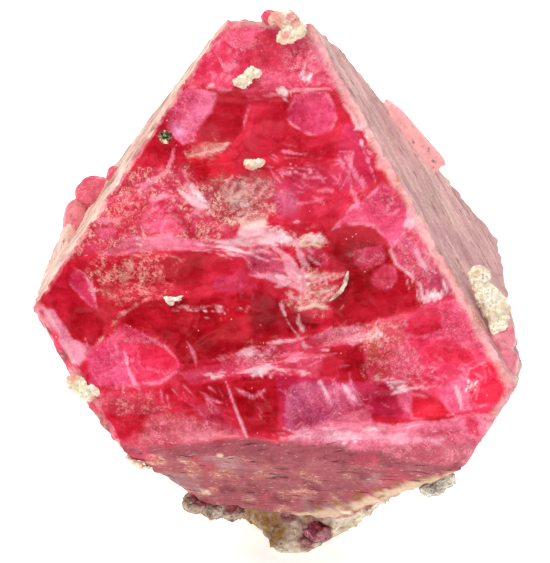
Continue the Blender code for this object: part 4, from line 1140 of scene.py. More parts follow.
# %% Bruises and nicks
HEART = np.array((0.0, 5.0, -1.0))  # mm from the break's middle
EDGE_NICKS = (  # place from the break's middle, radius
    ((5.9, 6.6, 15.3), 1), ((8.7, 3.9, 9.2), 0.8), ((-8.9, 5.6, 14.6), 0.9), ((-12.9, 2.2, 8), 0.8),
    ((-16.6, 0.4, 3), 0.9), ((13.4, 0.6, 2.4), 0.8), ((19.4, -5.3, -5.4), 1.1),
    ((-9.4, -7, -15), 0.9), ((2.2, -7.8, -14.6), 0.8),
)
BRUISE = 0.3  # mm
NICK_DEPTH = 0.7  # of its radius
inward = HEART - points
inward /= np.linalg.norm(inward, axis=1)[:, None]
patchy = np.clip(0.35 + sway(points, 1.1, 31) + 0.6 * sway(points, 0.4, 32), 0, 2)
wear = BRUISE * ramp(0.5, 0.0, inset) * patchy
for place, radius in EDGE_NICKS:
    away = np.linalg.norm(points - np.array(place), axis=1)
    bite = np.clip(radius * (1 + 0.3 * sway(points, 0.6, 33)) - away, 0, radius)
    wear = np.maximum(wear, NICK_DEPTH * bite)
points += inward * wear[:, None]
worn = ramp(0.45, 0.05, inset) * ramp(-0.2, 0.5, sway(points, 1.3, 34))


ATTRIBUTE_KINDS = {  # numbers for each point: the kind of attribute, and the field that holds them
    1: ("FLOAT", "value"), 3: ("FLOAT_VECTOR", "vector"), 4: ("FLOAT_COLOR", "color"),
}
LOOK_WIDTHS = {"tone": 4, "grit": 1, "etched": 1, "lay": 3}  # what the spinel material reads


def give_attribute(mesh, name, values):
    """Stores one value, vector or colour for each point of the mesh."""
    kind, field = ATTRIBUTE_KINDS[1 if values.ndim == 1 else values.shape[1]]
    made = mesh.attributes.new(name, kind, "POINT")
    made.data.foreach_set(field, values.astype(np.float32).ravel())


def store_look(mesh, *looks):
    """The four attributes of the spinel material, in the order of their names above."""
    for name, values in zip(LOOK_WIDTHS, looks):
        give_attribute(mesh, name, values)


placed = (points + np.array(BREAK_CENTRE)) * MM
MESH.vertices.foreach_set("co", placed.astype(np.float32).ravel())
worn *= 1 - 0.85 * ramp(-11.0, -13.0, up)  # the lower edge is hardly worn
blend(slice(None), "#F4CCC4", 0.6 * worn)
store_look(MESH, colour, rough_skin, etched, lay_axes)
crystal = add_object("spinel_octahedron", MESH)
print("crystal skin:", len(MESH.polygons), "faces")

# %% [markdown]
# ## Smaller crystals on the sides
# A thin plate stands out of the right face, and rounded knobs sit on the left corner and at the
# right tip. They grew into the big crystal, so they are sunk in it and later made one with it.

# %% Plate and knobs
SIDE_PLATE = ((11.4, 14.2, 8.6), (3.5, 1.9, 0.9), (-8, 50, 6))  # place, half sizes, turns about X, Y, Z
SIDE_KNOBS = (  # place, half sizes, tone, share of etched skin
    ((-15.1, 11.2, 4.4), (1.7, 1.8, 1.65), "#D45A70", 0.2),
    ((-13.5, 10.4, 6.3), (0.7, 0.8, 0.8), "#D45C74", 0.2),
    ((-16.7, 10.4, 1.9), (1.2, 1.9, 2.3), "#DC8088", 0.4),
    ((-17.3, 8.4, -0.4), (0.95, 2.2, 2.9), "#E4BCAE", 1),
    ((18.9, -1.2, -4.6), (1.2, 1.5, 1.4), "#DC8490", 0.25),
    ((19.2, -2.3, -6.6), (1.1, 1.5, 1.5), "#D87888", 0.25),
    ((-0.45, 10.3, 20), (0.72, 0.7, 0.7), "#D85878", 0.2),
)
KNOB_GRIT = 0.15


def turned(degrees):
    """A rotation by turns about X, Y and Z, in degrees."""
    x, y, z = (math.radians(angle) for angle in degrees)
    return Matrix.Rotation(z, 4, "Z") @ Matrix.Rotation(y, 4, "Y") @ Matrix.Rotation(x, 4, "X")


def side_crystal(name, bm, place, sizes, turns, tone_name, skin):
    """A small crystal at its place, with the same attributes as the big one."""
    matrix = Matrix.Translation(place) @ turned(turns) @ Matrix.Diagonal((*sizes, 1))
    bm.transform(Matrix.Scale(MM, 4) @ Matrix.Translation(BREAK_CENTRE) @ matrix)
    mesh = mesh_from(bm, name)
    count = len(mesh.vertices)
    tones = np.tile((*tint(tone_name), 1), (count, 1))
    store_look(mesh, tones, np.full(count, KNOB_GRIT), np.full(count, skin), read_points(mesh) / MM)
    return add_object(name, mesh)


def round_edges(bm, edges, offset):
    """Bevels these edges in two steps."""
    bmesh.ops.bevel(bm, geom=edges, offset=offset, offset_type="OFFSET", segments=2, profile=0.5,
                    affect="EDGES", material=-1, clamp_overlap=True)


def plate():
    """A thin block with rounded edges and a slightly uneven skin."""
    bm = bmesh.new()
    bmesh.ops.create_cube(bm, size=2.0)
    round_edges(bm, bm.edges[:], 0.3)
    bmesh.ops.subdivide_edges(bm, edges=bm.edges[:], cuts=9, use_grid_fill=True)
    for vert in bm.verts:
        vert.co *= 1 + 0.05 * noise.noise(vert.co * 2.0)
    return side_crystal("side_plate", bm, *SIDE_PLATE, "#F2B8B8", 0.8)


def knob(place, sizes, tone_name, skin):
    """A lumpy ball; its place also picks its lumps."""
    bm = bmesh.new()
    bmesh.ops.create_icosphere(bm, subdivisions=4, radius=1.0)
    seed = Vector(place)
    for vert in bm.verts:
        vert.co *= 1 + 0.14 * noise.noise(vert.co * 1.4 + seed) + 0.02 * noise.noise(vert.co * 5 + seed)
    return side_crystal("side_knob", bm, place, sizes, (0, 0, 0), tone_name, skin)


grown = [plate()] + [knob(*facts) for facts in SIDE_KNOBS]
print("small crystals:", len(grown))

# %% [markdown]
# ### One closed skin
# The union is done by modifiers that are then baked into the mesh. New points along the seams come
# without a look of their own, so each of them takes that of a neighbour.

# %% Join the small crystals
SHARP_ANGLE = 42  # degrees; a sharper bend than this keeps its edge


def applied(made):
    """Bakes an object's modifiers into its mesh."""
    graph = bpy.context.evaluated_depsgraph_get()
    mesh = bpy.data.meshes.new_from_object(made.evaluated_get(graph))
    made.modifiers.clear()
    made.data = mesh
    return made


def fill_seams(mesh):
    """Gives the points that the Boolean made along its seams the look of a neighbouring point."""
    values = {}
    for name, width in LOOK_WIDTHS.items():
        flat = np.empty(len(mesh.vertices) * width, np.float32)
        mesh.attributes[name].data.foreach_get(ATTRIBUTE_KINDS[width][1], flat)
        values[name] = flat.reshape(-1, width)
    ends = np.empty(len(mesh.edges) * 2, np.int32)
    mesh.edges.foreach_get("vertices", ends)
    ends = np.vstack((ends.reshape(-1, 2), ends.reshape(-1, 2)[:, ::-1]))
    bare = values["tone"].min(axis=1) == 1.0  # a new point comes with a plain white tone
    print("seam points to fill:", int(bare.sum()))
    while bare.any():
        pairs = ends[~bare[ends[:, 0]] & bare[ends[:, 1]]]
        for flat in values.values():
            flat[pairs[:, 1]] = flat[pairs[:, 0]]
        bare[pairs[:, 1]] = False
    for name, width in LOOK_WIDTHS.items():
        mesh.attributes[name].data.foreach_set(ATTRIBUTE_KINDS[width][1], values[name].ravel())


for small in grown:
    step = crystal.modifiers.new("union", "BOOLEAN")
    step.operation = "UNION"
    step.solver = "MANIFOLD"
    step.object = small
applied(crystal)
for small in grown:
    bpy.data.objects.remove(small)
MESH = crystal.data
fill_seams(MESH)
MESH.shade_smooth()
MESH.set_sharp_from_angle(angle=math.radians(SHARP_ANGLE))
print("with its small crystals:", len(MESH.polygons), "faces,", sorted(a.name for a in MESH.attributes))

# %% [markdown]
# ## Node tools
# A shader is a board of small nodes. The class below wraps a node tree and gives each kind of node
# used here one short method, which takes plain numbers or the sockets of other nodes.

# %% Board of shader nodes
class Board:
    """A node tree, with one short method for each kind of node used here."""

    def __init__(self, tree):
        self.nodes, self.links = tree.nodes, tree.links

    def add(self, kind, feeds=None, **settings):
        """A node; feeds pairs its inputs with sockets to link or with values to set."""
        made = self.nodes.new(kind)
        for name, value in settings.items():
            setattr(made, name, value)
        for key, value in (feeds or {}).items():
            if isinstance(value, bpy.types.NodeSocket):
                self.links.new(value, made.inputs[key])
            else:
                made.inputs[key].default_value = value
        return made

    def noise(self, where, scale, detail=3.0, rough=0.55):
        feeds = {"Vector": where, "Scale": scale, "Detail": detail, "Roughness": rough}
        return self.add("ShaderNodeTexNoise", feeds).outputs["Fac"]

    def remap(self, value, low, high, to_low=0.0, to_high=1.0):
        feeds = {"Value": value, "From Min": low, "From Max": high, "To Min": to_low, "To Max": to_high}
        return self.add("ShaderNodeMapRange", feeds, interpolation_type="SMOOTHSTEP").outputs["Result"]

    def math(self, operation, a, b=0.0):
        return self.add("ShaderNodeMath", {0: a, 1: b}, operation=operation).outputs[0]

    def times(self, a, b):
        return self.math("MULTIPLY", a, b)

    def colour(self, name):
        made = self.add("ShaderNodeRGB")
        made.outputs[0].default_value = (*tint(name), 1)
        return made.outputs[0]

    def mix(self, factor, base, over):
        """Colour base turned towards over by factor; over is a socket or a palette name."""
        over = (*tint(over), 1) if isinstance(over, str) else over
        feeds = {"Factor": factor, "A": base, "B": over}
        return self.add("ShaderNodeMix", feeds, data_type="RGBA").outputs["Result"]

    def attribute(self, name, output="Fac"):
        """What was stored under this name for each point of the mesh."""
        return self.add("ShaderNodeAttribute", attribute_name=name).outputs[output]

    def vector(self, operation, a, b):
        return self.add("ShaderNodeVectorMath", {0: a, 1: b}, operation=operation).outputs[0]

    def scaled(self, colour, factor):
        """A colour made darker or lighter by a factor."""
        return self.add("ShaderNodeVectorMath", {0: colour, "Scale": factor}, operation="SCALE").outputs[0]

    def brushed(self, where, along, across, turn=0.0, detail=3.0):
        """Noise drawn out in one direction, by its lengths along and across and a turn in degrees."""
        feeds = {"Vector": where, "Scale": (along, across, 1), "Rotation": (0, 0, math.radians(turn))}
        laid = self.add("ShaderNodeMapping", feeds, vector_type="TEXTURE").outputs[0]
        return self.noise(laid, 1.0, detail, 0.6)

    def bump(self, height, distance, strength, normal=None, invert=False):
        feeds = {"Height": height, "Distance": distance, "Strength": strength}
        if normal:
            feeds["Normal"] = normal
        return self.add("ShaderNodeBump", feeds, invert=invert).outputs[0]

    def effect(self, tree, where, **numbers):
        """One use of a node group, with this material's own values."""
        made = self.add("ShaderNodeGroup", node_tree=tree)
        self.links.new(where, made.inputs["Vector"])
        for label, value in numbers.items():
            made.inputs[label].default_value = value
        return made.outputs[0] if len(made.outputs) == 1 else made.outputs

    def surface(self, feeds, volume=None):
        """The Principled shader with these inputs, and the output node of the material."""
        shader = self.add("ShaderNodeBsdfPrincipled", feeds)
        ends = {"Surface": shader.outputs[0]}
        if volume:
            ends["Volume"] = volume
        self.add("ShaderNodeOutputMaterial", ends)
        print("finish has", len(self.nodes), "nodes")


def new_finish(name):
    """A new material, its board, and the place in the object that its patterns are drawn by."""
    made = new_material(name)
    board = Board(made.node_tree)
    return made, board, board.add("ShaderNodeTexCoord").outputs["Object"]


print("board methods:", [name for name in vars(Board) if not name.startswith("_")])

# %% [markdown]
# ## Effects shared by the minerals
# Three effects turn up in nearly every mineral, so each is built once as a node group: facets give
# every small chip or grain its own value and light some of the seams between them, veins are thin
# broken lines where cracks catch the light, and specks are scattered dots. Each material places
# them with its own sizes.

# %% Facets, veins and specks
def effect_group(name, numbers, build):
    """A node group from a vector and some numbers to masks; build wires the inside and names them."""
    tree = bpy.data.node_groups.new(name, "ShaderNodeTree")
    tree.interface.new_socket("Vector", in_out="INPUT", socket_type="NodeSocketVector")
    for label, value in numbers.items():
        socket = tree.interface.new_socket(label, in_out="INPUT", socket_type="NodeSocketFloat")
        socket.default_value = value
    board = Board(tree)
    masks = build(board, tree.nodes.new("NodeGroupInput").outputs)
    for label in masks:
        tree.interface.new_socket(label, in_out="OUTPUT", socket_type="NodeSocketFloat")
    board.add("NodeGroupOutput", masks)
    return tree


def warped_vector(board, given):
    """The vector pushed about by noise, so that lines and cells come out crooked."""
    feeds = {"Vector": given["Vector"], "Scale": given["Scale"], "Detail": 1.0}
    shift = board.add("ShaderNodeTexNoise", feeds).outputs["Color"]
    centred = board.vector("SUBTRACT", shift, (0.5, 0.5, 0.5))
    reach = board.math("DIVIDE", given["Warp"], given["Scale"])
    return board.vector("ADD", given["Vector"], board.scaled(centred, reach))


def build_facets(board, given):
    """Each cell's own value, and the seams that catch the light."""
    feeds = {"Vector": warped_vector(board, given), "Scale": given["Scale"]}
    cells = board.add("ShaderNodeTexVoronoi", feeds).outputs["Color"]
    seams = board.add("ShaderNodeTexVoronoi", feeds, feature="DISTANCE_TO_EDGE").outputs["Distance"]
    values = board.add("ShaderNodeSeparateColor", {0: cells}).outputs
    seam = board.times(board.remap(seams, given["Width"], 0.0), board.remap(values[1], 0.4, 0.7))
    return {"Tone": values[0], "Seam": seam}


def build_veins(board, given):
    """Crooked lines where noise crosses its middle, broken up by broader noise."""
    ridge = board.noise(warped_vector(board, given), given["Scale"], 3.0, 0.6)
    away = board.math("ABSOLUTE", board.math("SUBTRACT", ridge, 0.5))
    line = board.remap(away, given["Width"], 0.0)
    patch = board.noise(given["Vector"], board.times(given["Scale"], 0.7), 1.0, 0.6)
    return {"Mask": board.times(line, board.remap(patch, 0.46, 0.6))}


def build_specks(board, given):
    """A dot in the middle of some of the cells."""
    cells = board.add("ShaderNodeTexVoronoi", {"Vector": given["Vector"], "Scale": given["Scale"]}).outputs
    dot = board.remap(cells["Distance"], given["Radius"], board.times(given["Radius"], 0.5))
    chance = board.add("ShaderNodeSeparateColor", {0: cells["Color"]}).outputs[1]
    return {"Mask": board.times(dot, board.math("LESS_THAN", chance, given["Share"]))}


FACETS = effect_group("facets", {"Scale": 900.0, "Warp": 0.6, "Width": 0.04}, build_facets)
VEINS = effect_group("veins", {"Scale": 500.0, "Warp": 1.0, "Width": 0.02}, build_veins)
SPECKS = effect_group("specks", {"Scale": 1500.0, "Radius": 0.35, "Share": 0.3}, build_specks)
print("node groups:", [tree.name for tree in bpy.data.node_groups])

# %% [markdown]
# ## Spinel
# Spinel is clear red glass to the eye. Part of the light is let through and absorbed inside, and
# the rest is thrown back by clouds and cracks under the surface, which carry the painted tone. The
# clouds get a painted glow, a weak emission of their tone that stands in for light reaching them
# from all round. Chips of two sizes get their own depth of red, light veins follow the cracks, and
# grit scatters grains. Painted sparkle dots the clear glass, and painted glints streak the etched skin.

# %% Spinel: clouded glass
# every scale is a count per metre
spinel, board, where = new_finish("spinel")
painted = board.attribute("tone", "Color")
gritty = board.attribute("grit")
frosted = board.attribute("etched")
lay = board.attribute("lay", "Vector")
glassy = board.math("SUBTRACT", 1.0, frosted)
broad = board.noise(where, 260, 3, 0.55)
fine = board.noise(where, 3200, 3, 0.7)
flow = board.brushed(lay, 4.5, 0.9, 0, 4)
chips = board.effect(FACETS, where, Scale=480.0, Warp=1.1, Width=0.03)
flakes = board.effect(FACETS, where, Scale=1300.0, Warp=1.1, Width=0.05)

depth = board.remap(broad, 0.3, 0.7, 0.9, 1.12)
for level, low, high, least, most in (
    (chips["Tone"], 0.0, 1.0, 0.94, 1.07), (flakes["Tone"], 0.0, 1.0, 0.95, 1.06),
    (flow, 0.3, 0.7, 0.94, 1.07),
):
    depth = board.times(depth, board.remap(level, low, high, least, most))
pale = board.add("ShaderNodeSeparateColor", {0: painted}).outputs[1]
mist = board.times(board.remap(fine, 0.3, 0.7, -0.1, 0.12), board.remap(pale, 0.005, 0.09, 0.3, 1.0))
depth = board.times(depth, board.math("ADD", mist, 1.0))
depth = board.math("ADD", board.times(board.math("SUBTRACT", depth, 1.0), glassy), 1.0)
base = board.add("ShaderNodeGamma", {"Color": painted, "Gamma": board.times(depth, 1.06)}).outputs[0]
base = board.scaled(base, board.remap(depth, 0.6, 1.5, 1.25, 0.72))
frost = board.times(board.remap(fine, 0.3, 0.7, 0.84, 1.12), board.remap(broad, 0.3, 0.7, 0.9, 1.1))
stripes = board.brushed(lay, 5.0, 0.4, 0, 3)
frost = board.times(frost, board.remap(stripes, 0.35, 0.65, 0.91, 1.08))
base = board.scaled(base, board.math("ADD", glassy, board.times(frosted, frost)))
print("nodes so far:", len(board.nodes))

# %% Spinel: veins, sparkle and grit
busy = board.times(glassy, board.remap(pale, 0.012, 0.12, 0.05, 1.0))
veins = board.effect(VEINS, where, Scale=900.0, Warp=1.2, Width=0.028)
hairs = board.effect(VEINS, where, Scale=2200.0, Warp=1.4, Width=0.05)
veins = board.math("MAXIMUM", veins, board.times(hairs, 0.7))
base = board.mix(board.times(busy, board.times(veins, 0.6)), base, "vein")
base = board.mix(board.times(busy, board.remap(fine, 0.6, 0.72, 0.0, 0.5)), base, "milk")
# painted sparkle: milky dots that stand in for tiny glints on the clear glass
sparkle = board.effect(SPECKS, where, Scale=2200.0, Radius=0.16, Share=0.04)
base = board.mix(board.times(glassy, board.times(sparkle, 0.7)), base, "milk")

clumps = board.remap(board.noise(where, 650, 2, 0.5), 0.42, 0.56)
base = board.mix(board.times(gritty, board.remap(fine, 0.5, 0.38, 0.0, 0.6)), base, "#8A2630")
pale_grains = board.times(clumps, board.remap(fine, 0.54, 0.63, 0.0, 0.7))
base = board.mix(board.times(gritty, pale_grains), base, "#F0BEB4")
threads = board.effect(VEINS, where, Scale=1300.0, Warp=1.8, Width=0.03)
base = board.mix(board.times(gritty, board.math("MAXIMUM", hairs, threads)), base, "#F4D0C0")
print("nodes so far:", len(board.nodes))

# %% Spinel: etched skin and surface
SPINEL_INDEX = 1.72
# painted glow: the tone also shines as a weak emission, standing in for light that reaches the clouds
PAINTED_CLOUD_GLOW = 0.2
LET_THROUGH = 0.25  # share of the light that passes the clouds

slivers = board.math("MAXIMUM", board.remap(board.brushed(lay, 2.4, 0.3, 0, 2), 0.63, 0.68),
                     board.remap(board.brushed(lay, 1.2, 0.18, 0, 2), 0.66, 0.7, 0.0, 0.9))
etch = board.times(frosted, slivers)
base = board.mix(board.times(etch, 0.8), base, board.scaled(painted, 0.22))
# painted glints: light streaks on the etched skin
glints = board.remap(board.brushed(lay, 0.7, 0.16, 6), 0.62, 0.68)
base = board.mix(board.times(frosted, board.times(glints, 0.5)), base, "#F0D8CC")

crushed = board.remap(gritty, 0.0, 1.0, 0.15, 0.6)
gloss = board.math("MAXIMUM", crushed, board.remap(frosted, 0.0, 1.0, 0.1, 0.5))
bumps = board.bump(etch, 0.0003, 0.7, invert=True)
bumps = board.bump(fine, 0.0001, 0.4, bumps)
absorb = board.add("ShaderNodeVolumeAbsorption", {"Color": (0.92, 0.10, 0.22, 1), "Density": 90.0})
board.surface({
    "Base Color": base, "Emission Color": base, "Emission Strength": PAINTED_CLOUD_GLOW, "Roughness": gloss,
    "IOR": SPINEL_INDEX, "Transmission Weight": LET_THROUGH, "Specular IOR Level": 0.1,
    "Specular Tint": (1.0, 0.35, 0.42, 1), "Normal": bumps,
}, absorb.outputs[0])

MESH.materials.clear()
MESH.materials.append(spinel)
zeros = np.zeros(len(MESH.polygons), np.int32)
MESH.polygons.foreach_set("material_index", zeros)
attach(crystal, "root")
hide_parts("spinel_crystal")

# %% [markdown]
# ## A grainy skin
# Marble is a mass of interlocked calcite grains, each less than a millimetre across. Each grown-on
# piece starts from a merged copy of its packed solid, gets an even skin from a voxel remesh, melts
# a little so that its lumps run together, and is then pushed in and out grain by grain: a Voronoi
# cell is a grain, and each grain's face leans its own way.

# %% From packed solid to even skin
def merged_copy(node):
    """A welded copy of a node's loose triangles, as a new mesh."""
    bm = bmesh.new()
    bm.from_mesh(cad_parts[node].data)
    bmesh.ops.remove_doubles(bm, verts=bm.verts, dist=SNAP * MM)
    return mesh_from(bm, node + "_copy")


def even_skin(name, node, voxel, melt):
    """A new object with the node's shape, a skin of small even faces and softened lumps."""
    made = add_object(name, merged_copy(node))
    step = made.modifiers.new("skin", "REMESH")
    step.mode = "VOXEL"
    step.voxel_size = voxel * MM
    step = made.modifiers.new("melt", "SMOOTH")
    step.iterations = melt
    return applied(made)


print("the marble's solid has", len(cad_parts["marble_matrix"].data.polygons), "triangles")


# %% Grains
GRAIN_LEAN = 1.6  # how much a grain's face leans, against how much its level differs
FLOOR_FADE = 0.6  # mm above the floor in which the grains fade out


def leaning_grains(at, size, seed):
    """Grains in three dimensions, each with its own level and lean, from about -1 to 1."""
    heights = []
    for p in (at / size + seed).tolist():
        near = noise.voronoi(p)[1][0]
        lean = noise.noise_vector((near[0] * 5.1, near[1] * 5.1, near[2] * 5.1))
        offset = (p[0] - near[0], p[1] - near[1], p[2] - near[2])
        heights.append(sum(o * n for o, n in zip(offset, lean)) * GRAIN_LEAN + lean[0])
    return np.array(heights)


def grain_skin(made, layers, sharp=40, floor=None):
    """Pushes the skin in and out by grains: each layer is a grain size and a height in mm."""
    mesh = made.data
    at = read_points(mesh) / MM
    push = sum(tall * leaning_grains(at, size, 3 + size) for size, tall in layers)
    if floor is not None:
        push = push * ramp(floor, floor + FLOOR_FADE, at[:, 2])
    moved = at + read_points(mesh, "normal") * push[:, None]
    if floor is not None:
        moved[:, 2] = np.maximum(moved[:, 2], floor)
    mesh.vertices.foreach_set("co", (moved * MM).astype(np.float32).ravel())
    mesh.update()
    mesh.shade_smooth()
    mesh.set_sharp_from_angle(angle=math.radians(sharp))
    return made


print("grains fade out", FLOOR_FADE, "mm above a floor")


# %% Stains and the place in the frame
def patches(at, spots, seed):
    """1 inside ragged round patches of a piece: each is x, y in the frame and a radius, in mm."""
    x, y = at[:, 0] - BREAK_CENTRE.x, (at - np.array(BREAK_CENTRE)) @ VIEW_UP
    ragged = 0.3 * sway(at, 0.9, seed) + 0.25 * sway(at, 0.35, seed + 1)
    found = np.zeros(len(at))
    for middle_x, middle_y, radius in spots:
        away = np.hypot(x - middle_x, y - middle_y) / radius
        found = np.maximum(found, ramp(1.15, 0.75, away + ragged))
    return found


def mark(made, stained=(), blushed=(), speckled=0.3):
    """Stores where a piece is stained by iron and where it is tinged by spinel."""
    at = read_points(made.data) / MM
    clouds = speckled * ramp(0.1, 0.45, sway(at, 1.1, 41) + 0.4 * sway(at, 0.4, 42))
    give_attribute(made.data, "stain", np.maximum(clouds, patches(at, stained, 43)))
    give_attribute(made.data, "blush", patches(at, blushed, 45))
    return made


def dress(made, node, material):
    """Puts a finished piece in the frame in place of its solid."""
    made.data.materials.clear()
    made.data.materials.append(material)
    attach(made, "root")
    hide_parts(node)
    print(made.name, "has", len(made.data.polygons), "faces")


print("solids still to dress:", len(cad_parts) - 1)

# %% [markdown]
# ## Finish of the grainy pieces
# Each grain reflects a little differently, so grains vary in tone and gloss, and some seams between
# grains get a painted highlight. Iron stains the grain borders ochre, spinel tinges some of them
# pink, and dark specks sit in between.

# %% Granular material
def granular_material(name, light, dark, stain, blush, rough=0.6, scale=900.0):
    """Interlocked grains in two tones, with stained cracks and dark specks between them."""
    made, board, where = new_finish(name)
    stained = board.attribute("stain")
    blushed = board.attribute("blush")
    grains = board.effect(FACETS, where, Scale=scale, Warp=0.5, Width=0.06)
    fine = board.noise(where, 2600, 3, 0.6)
    base = board.mix(board.remap(grains["Tone"], 0.0, 1.0, 0.0, 0.8), board.colour(light), dark)
    # painted highlight: white along the lit seams between grains
    base = board.mix(board.times(grains["Seam"], 0.35), base, "#FFFFFF")
    cracks = board.times(board.effect(VEINS, where, Scale=scale * 0.6, Width=0.03), 0.5)
    clouded = board.times(stained, board.remap(fine, 0.36, 0.56, 0.6, 1.0))
    base = board.mix(board.math("MAXIMUM", cracks, clouded), base, stain)
    base = board.mix(board.times(blushed, board.remap(fine, 0.4, 0.6, 0.5, 1.0)), base, blush)
    specks = board.effect(SPECKS, where, Scale=scale * 2, Share=0.12)
    base = board.mix(board.times(specks, 0.6), base, "#5A4A3E")
    base = board.scaled(base, board.remap(fine, 0.3, 0.7, 0.75, 1.15))
    gloss = board.remap(grains["Tone"], 0.0, 1.0, rough - 0.25, rough + 0.2)
    normal = board.bump(fine, 0.0002, 0.6)
    board.surface({"Base Color": base, "Roughness": gloss, "Normal": normal})
    return made


marble_finish = granular_material("marble", "#F4EBD8", "#C8B89C", "#9C7434", "#8C3450", 0.6, 1100)

# %% [markdown]
# ## Marble
# The matrix is white and cream, with an ochre lump on its left, a rusty seam along the contact with
# the crystal, and a few places where small spinel grains tinge it pink. Its grains are the coarsest,
# and its flat base is kept on the table by a floor below which no grain is pushed.

# %% Marble matrix
MARBLE_GRAINS = ((1.6, 0.3), (0.7, 0.2), (0.35, 0.08))  # grain size and height, mm
OCHRE_SPOTS = (
    (-1.2, -20.2, 1.7), (-0.2, -21.2, 1.2), (-2.2, -19.6, 1.2), (6.4, -18.6, 0.9), (7.6, -17.9, 0.9),
    (8.8, -17.4, 0.9), (10, -16.9, 0.9), (11.2, -16.6, 0.8), (3.2, -19, 1), (12.4, -16.4, 0.6),
)
PINK_SPOTS = ((1.2, -19.4, 0.9), (0.6, -18.8, 0.7), (2.6, -21.8, 0.8), (4.2, -21.4, 0.7), (7.8, -18.8, 0.4))
marble = even_skin("marble", "marble_matrix", voxel=0.24, melt=4)
marble = grain_skin(marble, MARBLE_GRAINS, sharp=36, floor=0.0)
dress(mark(marble, OCHRE_SPOTS, PINK_SPOTS, 0.25), "marble_matrix", marble_finish)

# %% [markdown]
# ## Calcite, crust and bead
# The same calcite clings to the crystal in small pieces. The cap at the top is peach where pink
# spinel shows through it. The pitted crust below is greyish brown, and the bead is grey and glossy.
# The grain of spinel at the base is a rough little crystal of its own, with a dull mauve finish.

# %% Calcite and crust
calcite_finish = granular_material("calcite", "#FAF1E0", "#E6D4B4", "#C08C58", "#E08C84", 0.55, 1500)
crust_finish = granular_material("crust", "#C6B6A2", "#8A7664", "#5C4A3C", "#A04858", 0.7, 1500)
bead_finish = granular_material("bead", "#D6D0C4", "#A8A092", "#B89468", "#B07880", 0.35, 1300)
FINE_GRAINS = ((0.55, 0.12), (0.28, 0.09), (0.15, 0.05))
CAP_PINK = ((0.0, 22.0, 0.8), (1.6, 22.0, 0.7), (0.9, 20.6, 0.5))
LEFT_PINK = ((-16.9, -8.0, 0.45), (-15.1, -9.8, 0.35))
CRUST_PINK = ((-6.2, -18.2, 0.8), (-3.6, -18.8, 0.7))
CALCITE = {  # name: node, finish, melting steps, pink spots
    "calcite_cap": ("calcite_cap_top", calcite_finish, 60, CAP_PINK),
    "calcite_chip": ("calcite_chip_upper", calcite_finish, 3, ()),
    "calcite_fleck": ("calcite_fleck_centre", calcite_finish, 3, ((-2.3, 9.4, 0.4),)),
    "calcite_crust_on_right": ("calcite_crust_right", calcite_finish, 160, ()),
    "calcite_crust_on_left": ("calcite_crust_left", calcite_finish, 50, LEFT_PINK),
    "calcite_lump": ("calcite_lump_lower_left", calcite_finish, 40, ((-11.0, -14.8, 0.6),)),
    "calcite_bead": ("calcite_bead_lower_right", bead_finish, 60, ()),
    "pitted_crust": ("crust_lower_left", crust_finish, 90, CRUST_PINK),
}
for name, (node, finish, melt, pink) in CALCITE.items():
    made = mark(grain_skin(even_skin(name, node, 0.08, melt), FINE_GRAINS, 32), (), pink, 0.35)
    dress(made, node, finish)

grain_finish = granular_material("pink_grain", "#B85870", "#843048", "#E0C0B4", "#98304C", 0.4, 1200)
pink_grain = even_skin("spinel_grain", "spinel_grain_base", voxel=0.07, melt=2)
pink_grain = grain_skin(pink_grain, ((0.9, 0.16), (0.4, 0.08)), sharp=30)
dress(mark(pink_grain), "spinel_grain_base", grain_finish)

# %% [markdown]
# ## Shiny minerals
# Pyrite is a metal to the eye and mica has a pearly sheen, but both are made the same way here: two
# tones in patches, fine scratches, and a bump of tiny facets. Only the colours, the metallic share
# and the roughness differ.

# %% Metallic and pearly materials
def shiny_material(name, light, dark, metallic, rough):
    """A metal or pearly surface with darker patches and fine scratches."""
    made, board, where = new_finish(name)
    tarnish = board.remap(board.noise(where, 1500, 4, 0.65), 0.42, 0.6)
    base = board.mix(tarnish, board.colour(light), dark)
    scratch = board.effect(VEINS, where, Scale=3000.0, Warp=0.6, Width=0.04)
    base = board.mix(board.times(scratch, 0.5), base, "#F4F0E4")
    gloss = board.remap(tarnish, 0.0, 1.0, rough, rough + 0.3)
    normal = board.bump(board.effect(FACETS, where, Scale=4000.0, Warp=0.3)["Tone"], 0.00006, 0.5)
    board.surface({"Base Color": base, "Roughness": gloss, "Metallic": metallic, "Normal": normal})
    return made


def node_middle(node):
    """The middle of a packed solid's box, in metres."""
    at = read_points(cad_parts[node].data)
    return Vector((at.min(axis=0) + at.max(axis=0)) / 2)


def place_shape(name, bm, node, material, turns=(0, 0, 0)):
    """Sets a shape made in mm in its solid's place, smooths it between its edges and dresses it."""
    bm.transform(Matrix.Translation(node_middle(node)) @ Matrix.Scale(MM, 4) @ turned(turns))
    mesh = mesh_from(bm, name)
    mesh.shade_smooth()
    mesh.set_sharp_from_angle(angle=math.radians(30))
    dress(add_object(name, mesh), node, material)


pyrite_finish = shiny_material("pyrite", "#C8BC90", "#4A4636", 0.9, 0.28)

# %% [markdown]
# ### Pyrite
# Pyrite grows as brassy cubes, so the dark grain is a cluster of small cubes, each turned its own
# way and with slightly rounded edges, which catch a thin line of light.

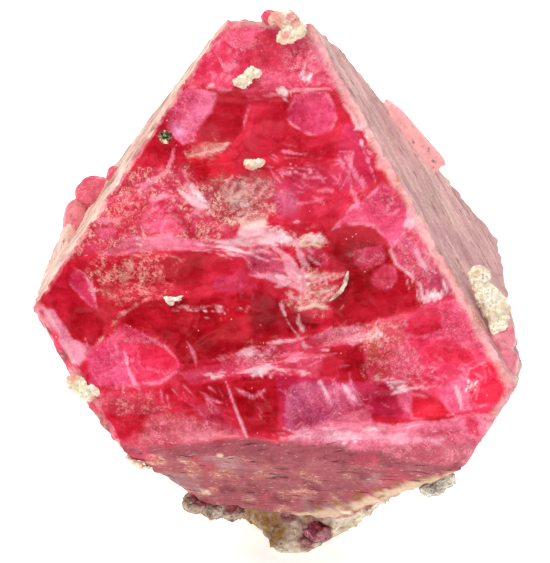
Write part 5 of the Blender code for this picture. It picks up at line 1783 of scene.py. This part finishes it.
# %% Pyrite cubes
CUBES = (  # place in the cluster and half side in mm, turns
    ((0, 0, 0), 0.36, (20, 30, 15)), ((0.3, -0.2, 0.25), 0.22, (50, 10, 40)),
    ((-0.32, -0.15, 0.1), 0.2, (10, 60, 70)), ((0.1, -0.3, -0.25), 0.24, (35, 75, 5)),
    ((-0.15, -0.2, -0.3), 0.17, (80, 20, 30)), ((0.34, 0, -0.1), 0.2, (15, 45, 80)),
    ((-0.1, -0.1, 0.38), 0.17, (65, 35, 20)),
)
bm = bmesh.new()
for place, half, turns in CUBES:
    matrix = Matrix.Translation(place) @ turned(turns)
    cube = bmesh.ops.create_cube(bm, size=2 * half, matrix=matrix)["verts"]
    edges = list({edge for vert in cube for edge in vert.link_edges})
    round_edges(bm, edges, 0.03)
place_shape("pyrite", bm, "pyrite_grain", pyrite_finish)

# %% [markdown]
# ### Mica
# Mica splits into thin sheets. The flake is so small that only its torn edges show, so it is made
# of a few crinkled scraps. The blade is one thin sheet, bent and tapering, seen from its edge.

# %% Mica flake and blade
SCRAPS = (  # place and half sizes in mm
    ((-0.15, 0, 0.05), (0.42, 0.3, 0.24)), ((0.32, -0.1, 0.1), (0.38, 0.3, 0.16)),
    ((-0.1, -0.1, -0.2), (0.3, 0.25, 0.14)), ((0.55, 0, 0.2), (0.24, 0.2, 0.1)),
)
bm = bmesh.new()
for place, sizes in SCRAPS:
    matrix = Matrix.Translation(place) @ Matrix.Diagonal((*sizes, 1))
    bmesh.ops.create_icosphere(bm, subdivisions=4, radius=1.0, matrix=matrix)
for vert in bm.verts:
    vert.co *= 1 + 0.5 * noise.noise(vert.co * 5.0) + 0.16 * noise.noise(vert.co * 16.0)
flake_finish = shiny_material("mica_flake", "#F6EEE4", "#D8C4B4", 0.0, 0.4)
place_shape("mica_flake", bm, "mica_flake_left", flake_finish)

BLADE_TURNS = (-45, 40, 0)
BLADE_LENGTH = 3.4  # mm
bm = bmesh.new()
bmesh.ops.create_cube(bm, size=2.0)
bmesh.ops.subdivide_edges(bm, edges=bm.edges[:], cuts=15, use_grid_fill=True)
for vert in bm.verts:
    along = vert.co.z
    thin = 0.13 * (1 - 0.7 * along * along)
    crinkle = 0.07 * noise.noise(Vector((along * 4, vert.co.y * 2, 0.3)))
    vert.co.x = vert.co.x * thin + 0.35 * (1 - along * along) + crinkle - 0.15
    vert.co.y = vert.co.y * 0.3 * (1 - 0.5 * along * along)
    vert.co.z = along * BLADE_LENGTH / 2
blade_finish = shiny_material("mica_blade", "#DCCFBC", "#9C8474", 0.05, 0.35)
place_shape("mica_blade", bm, "mica_blade_centre", blade_finish, BLADE_TURNS)

# %% [markdown]
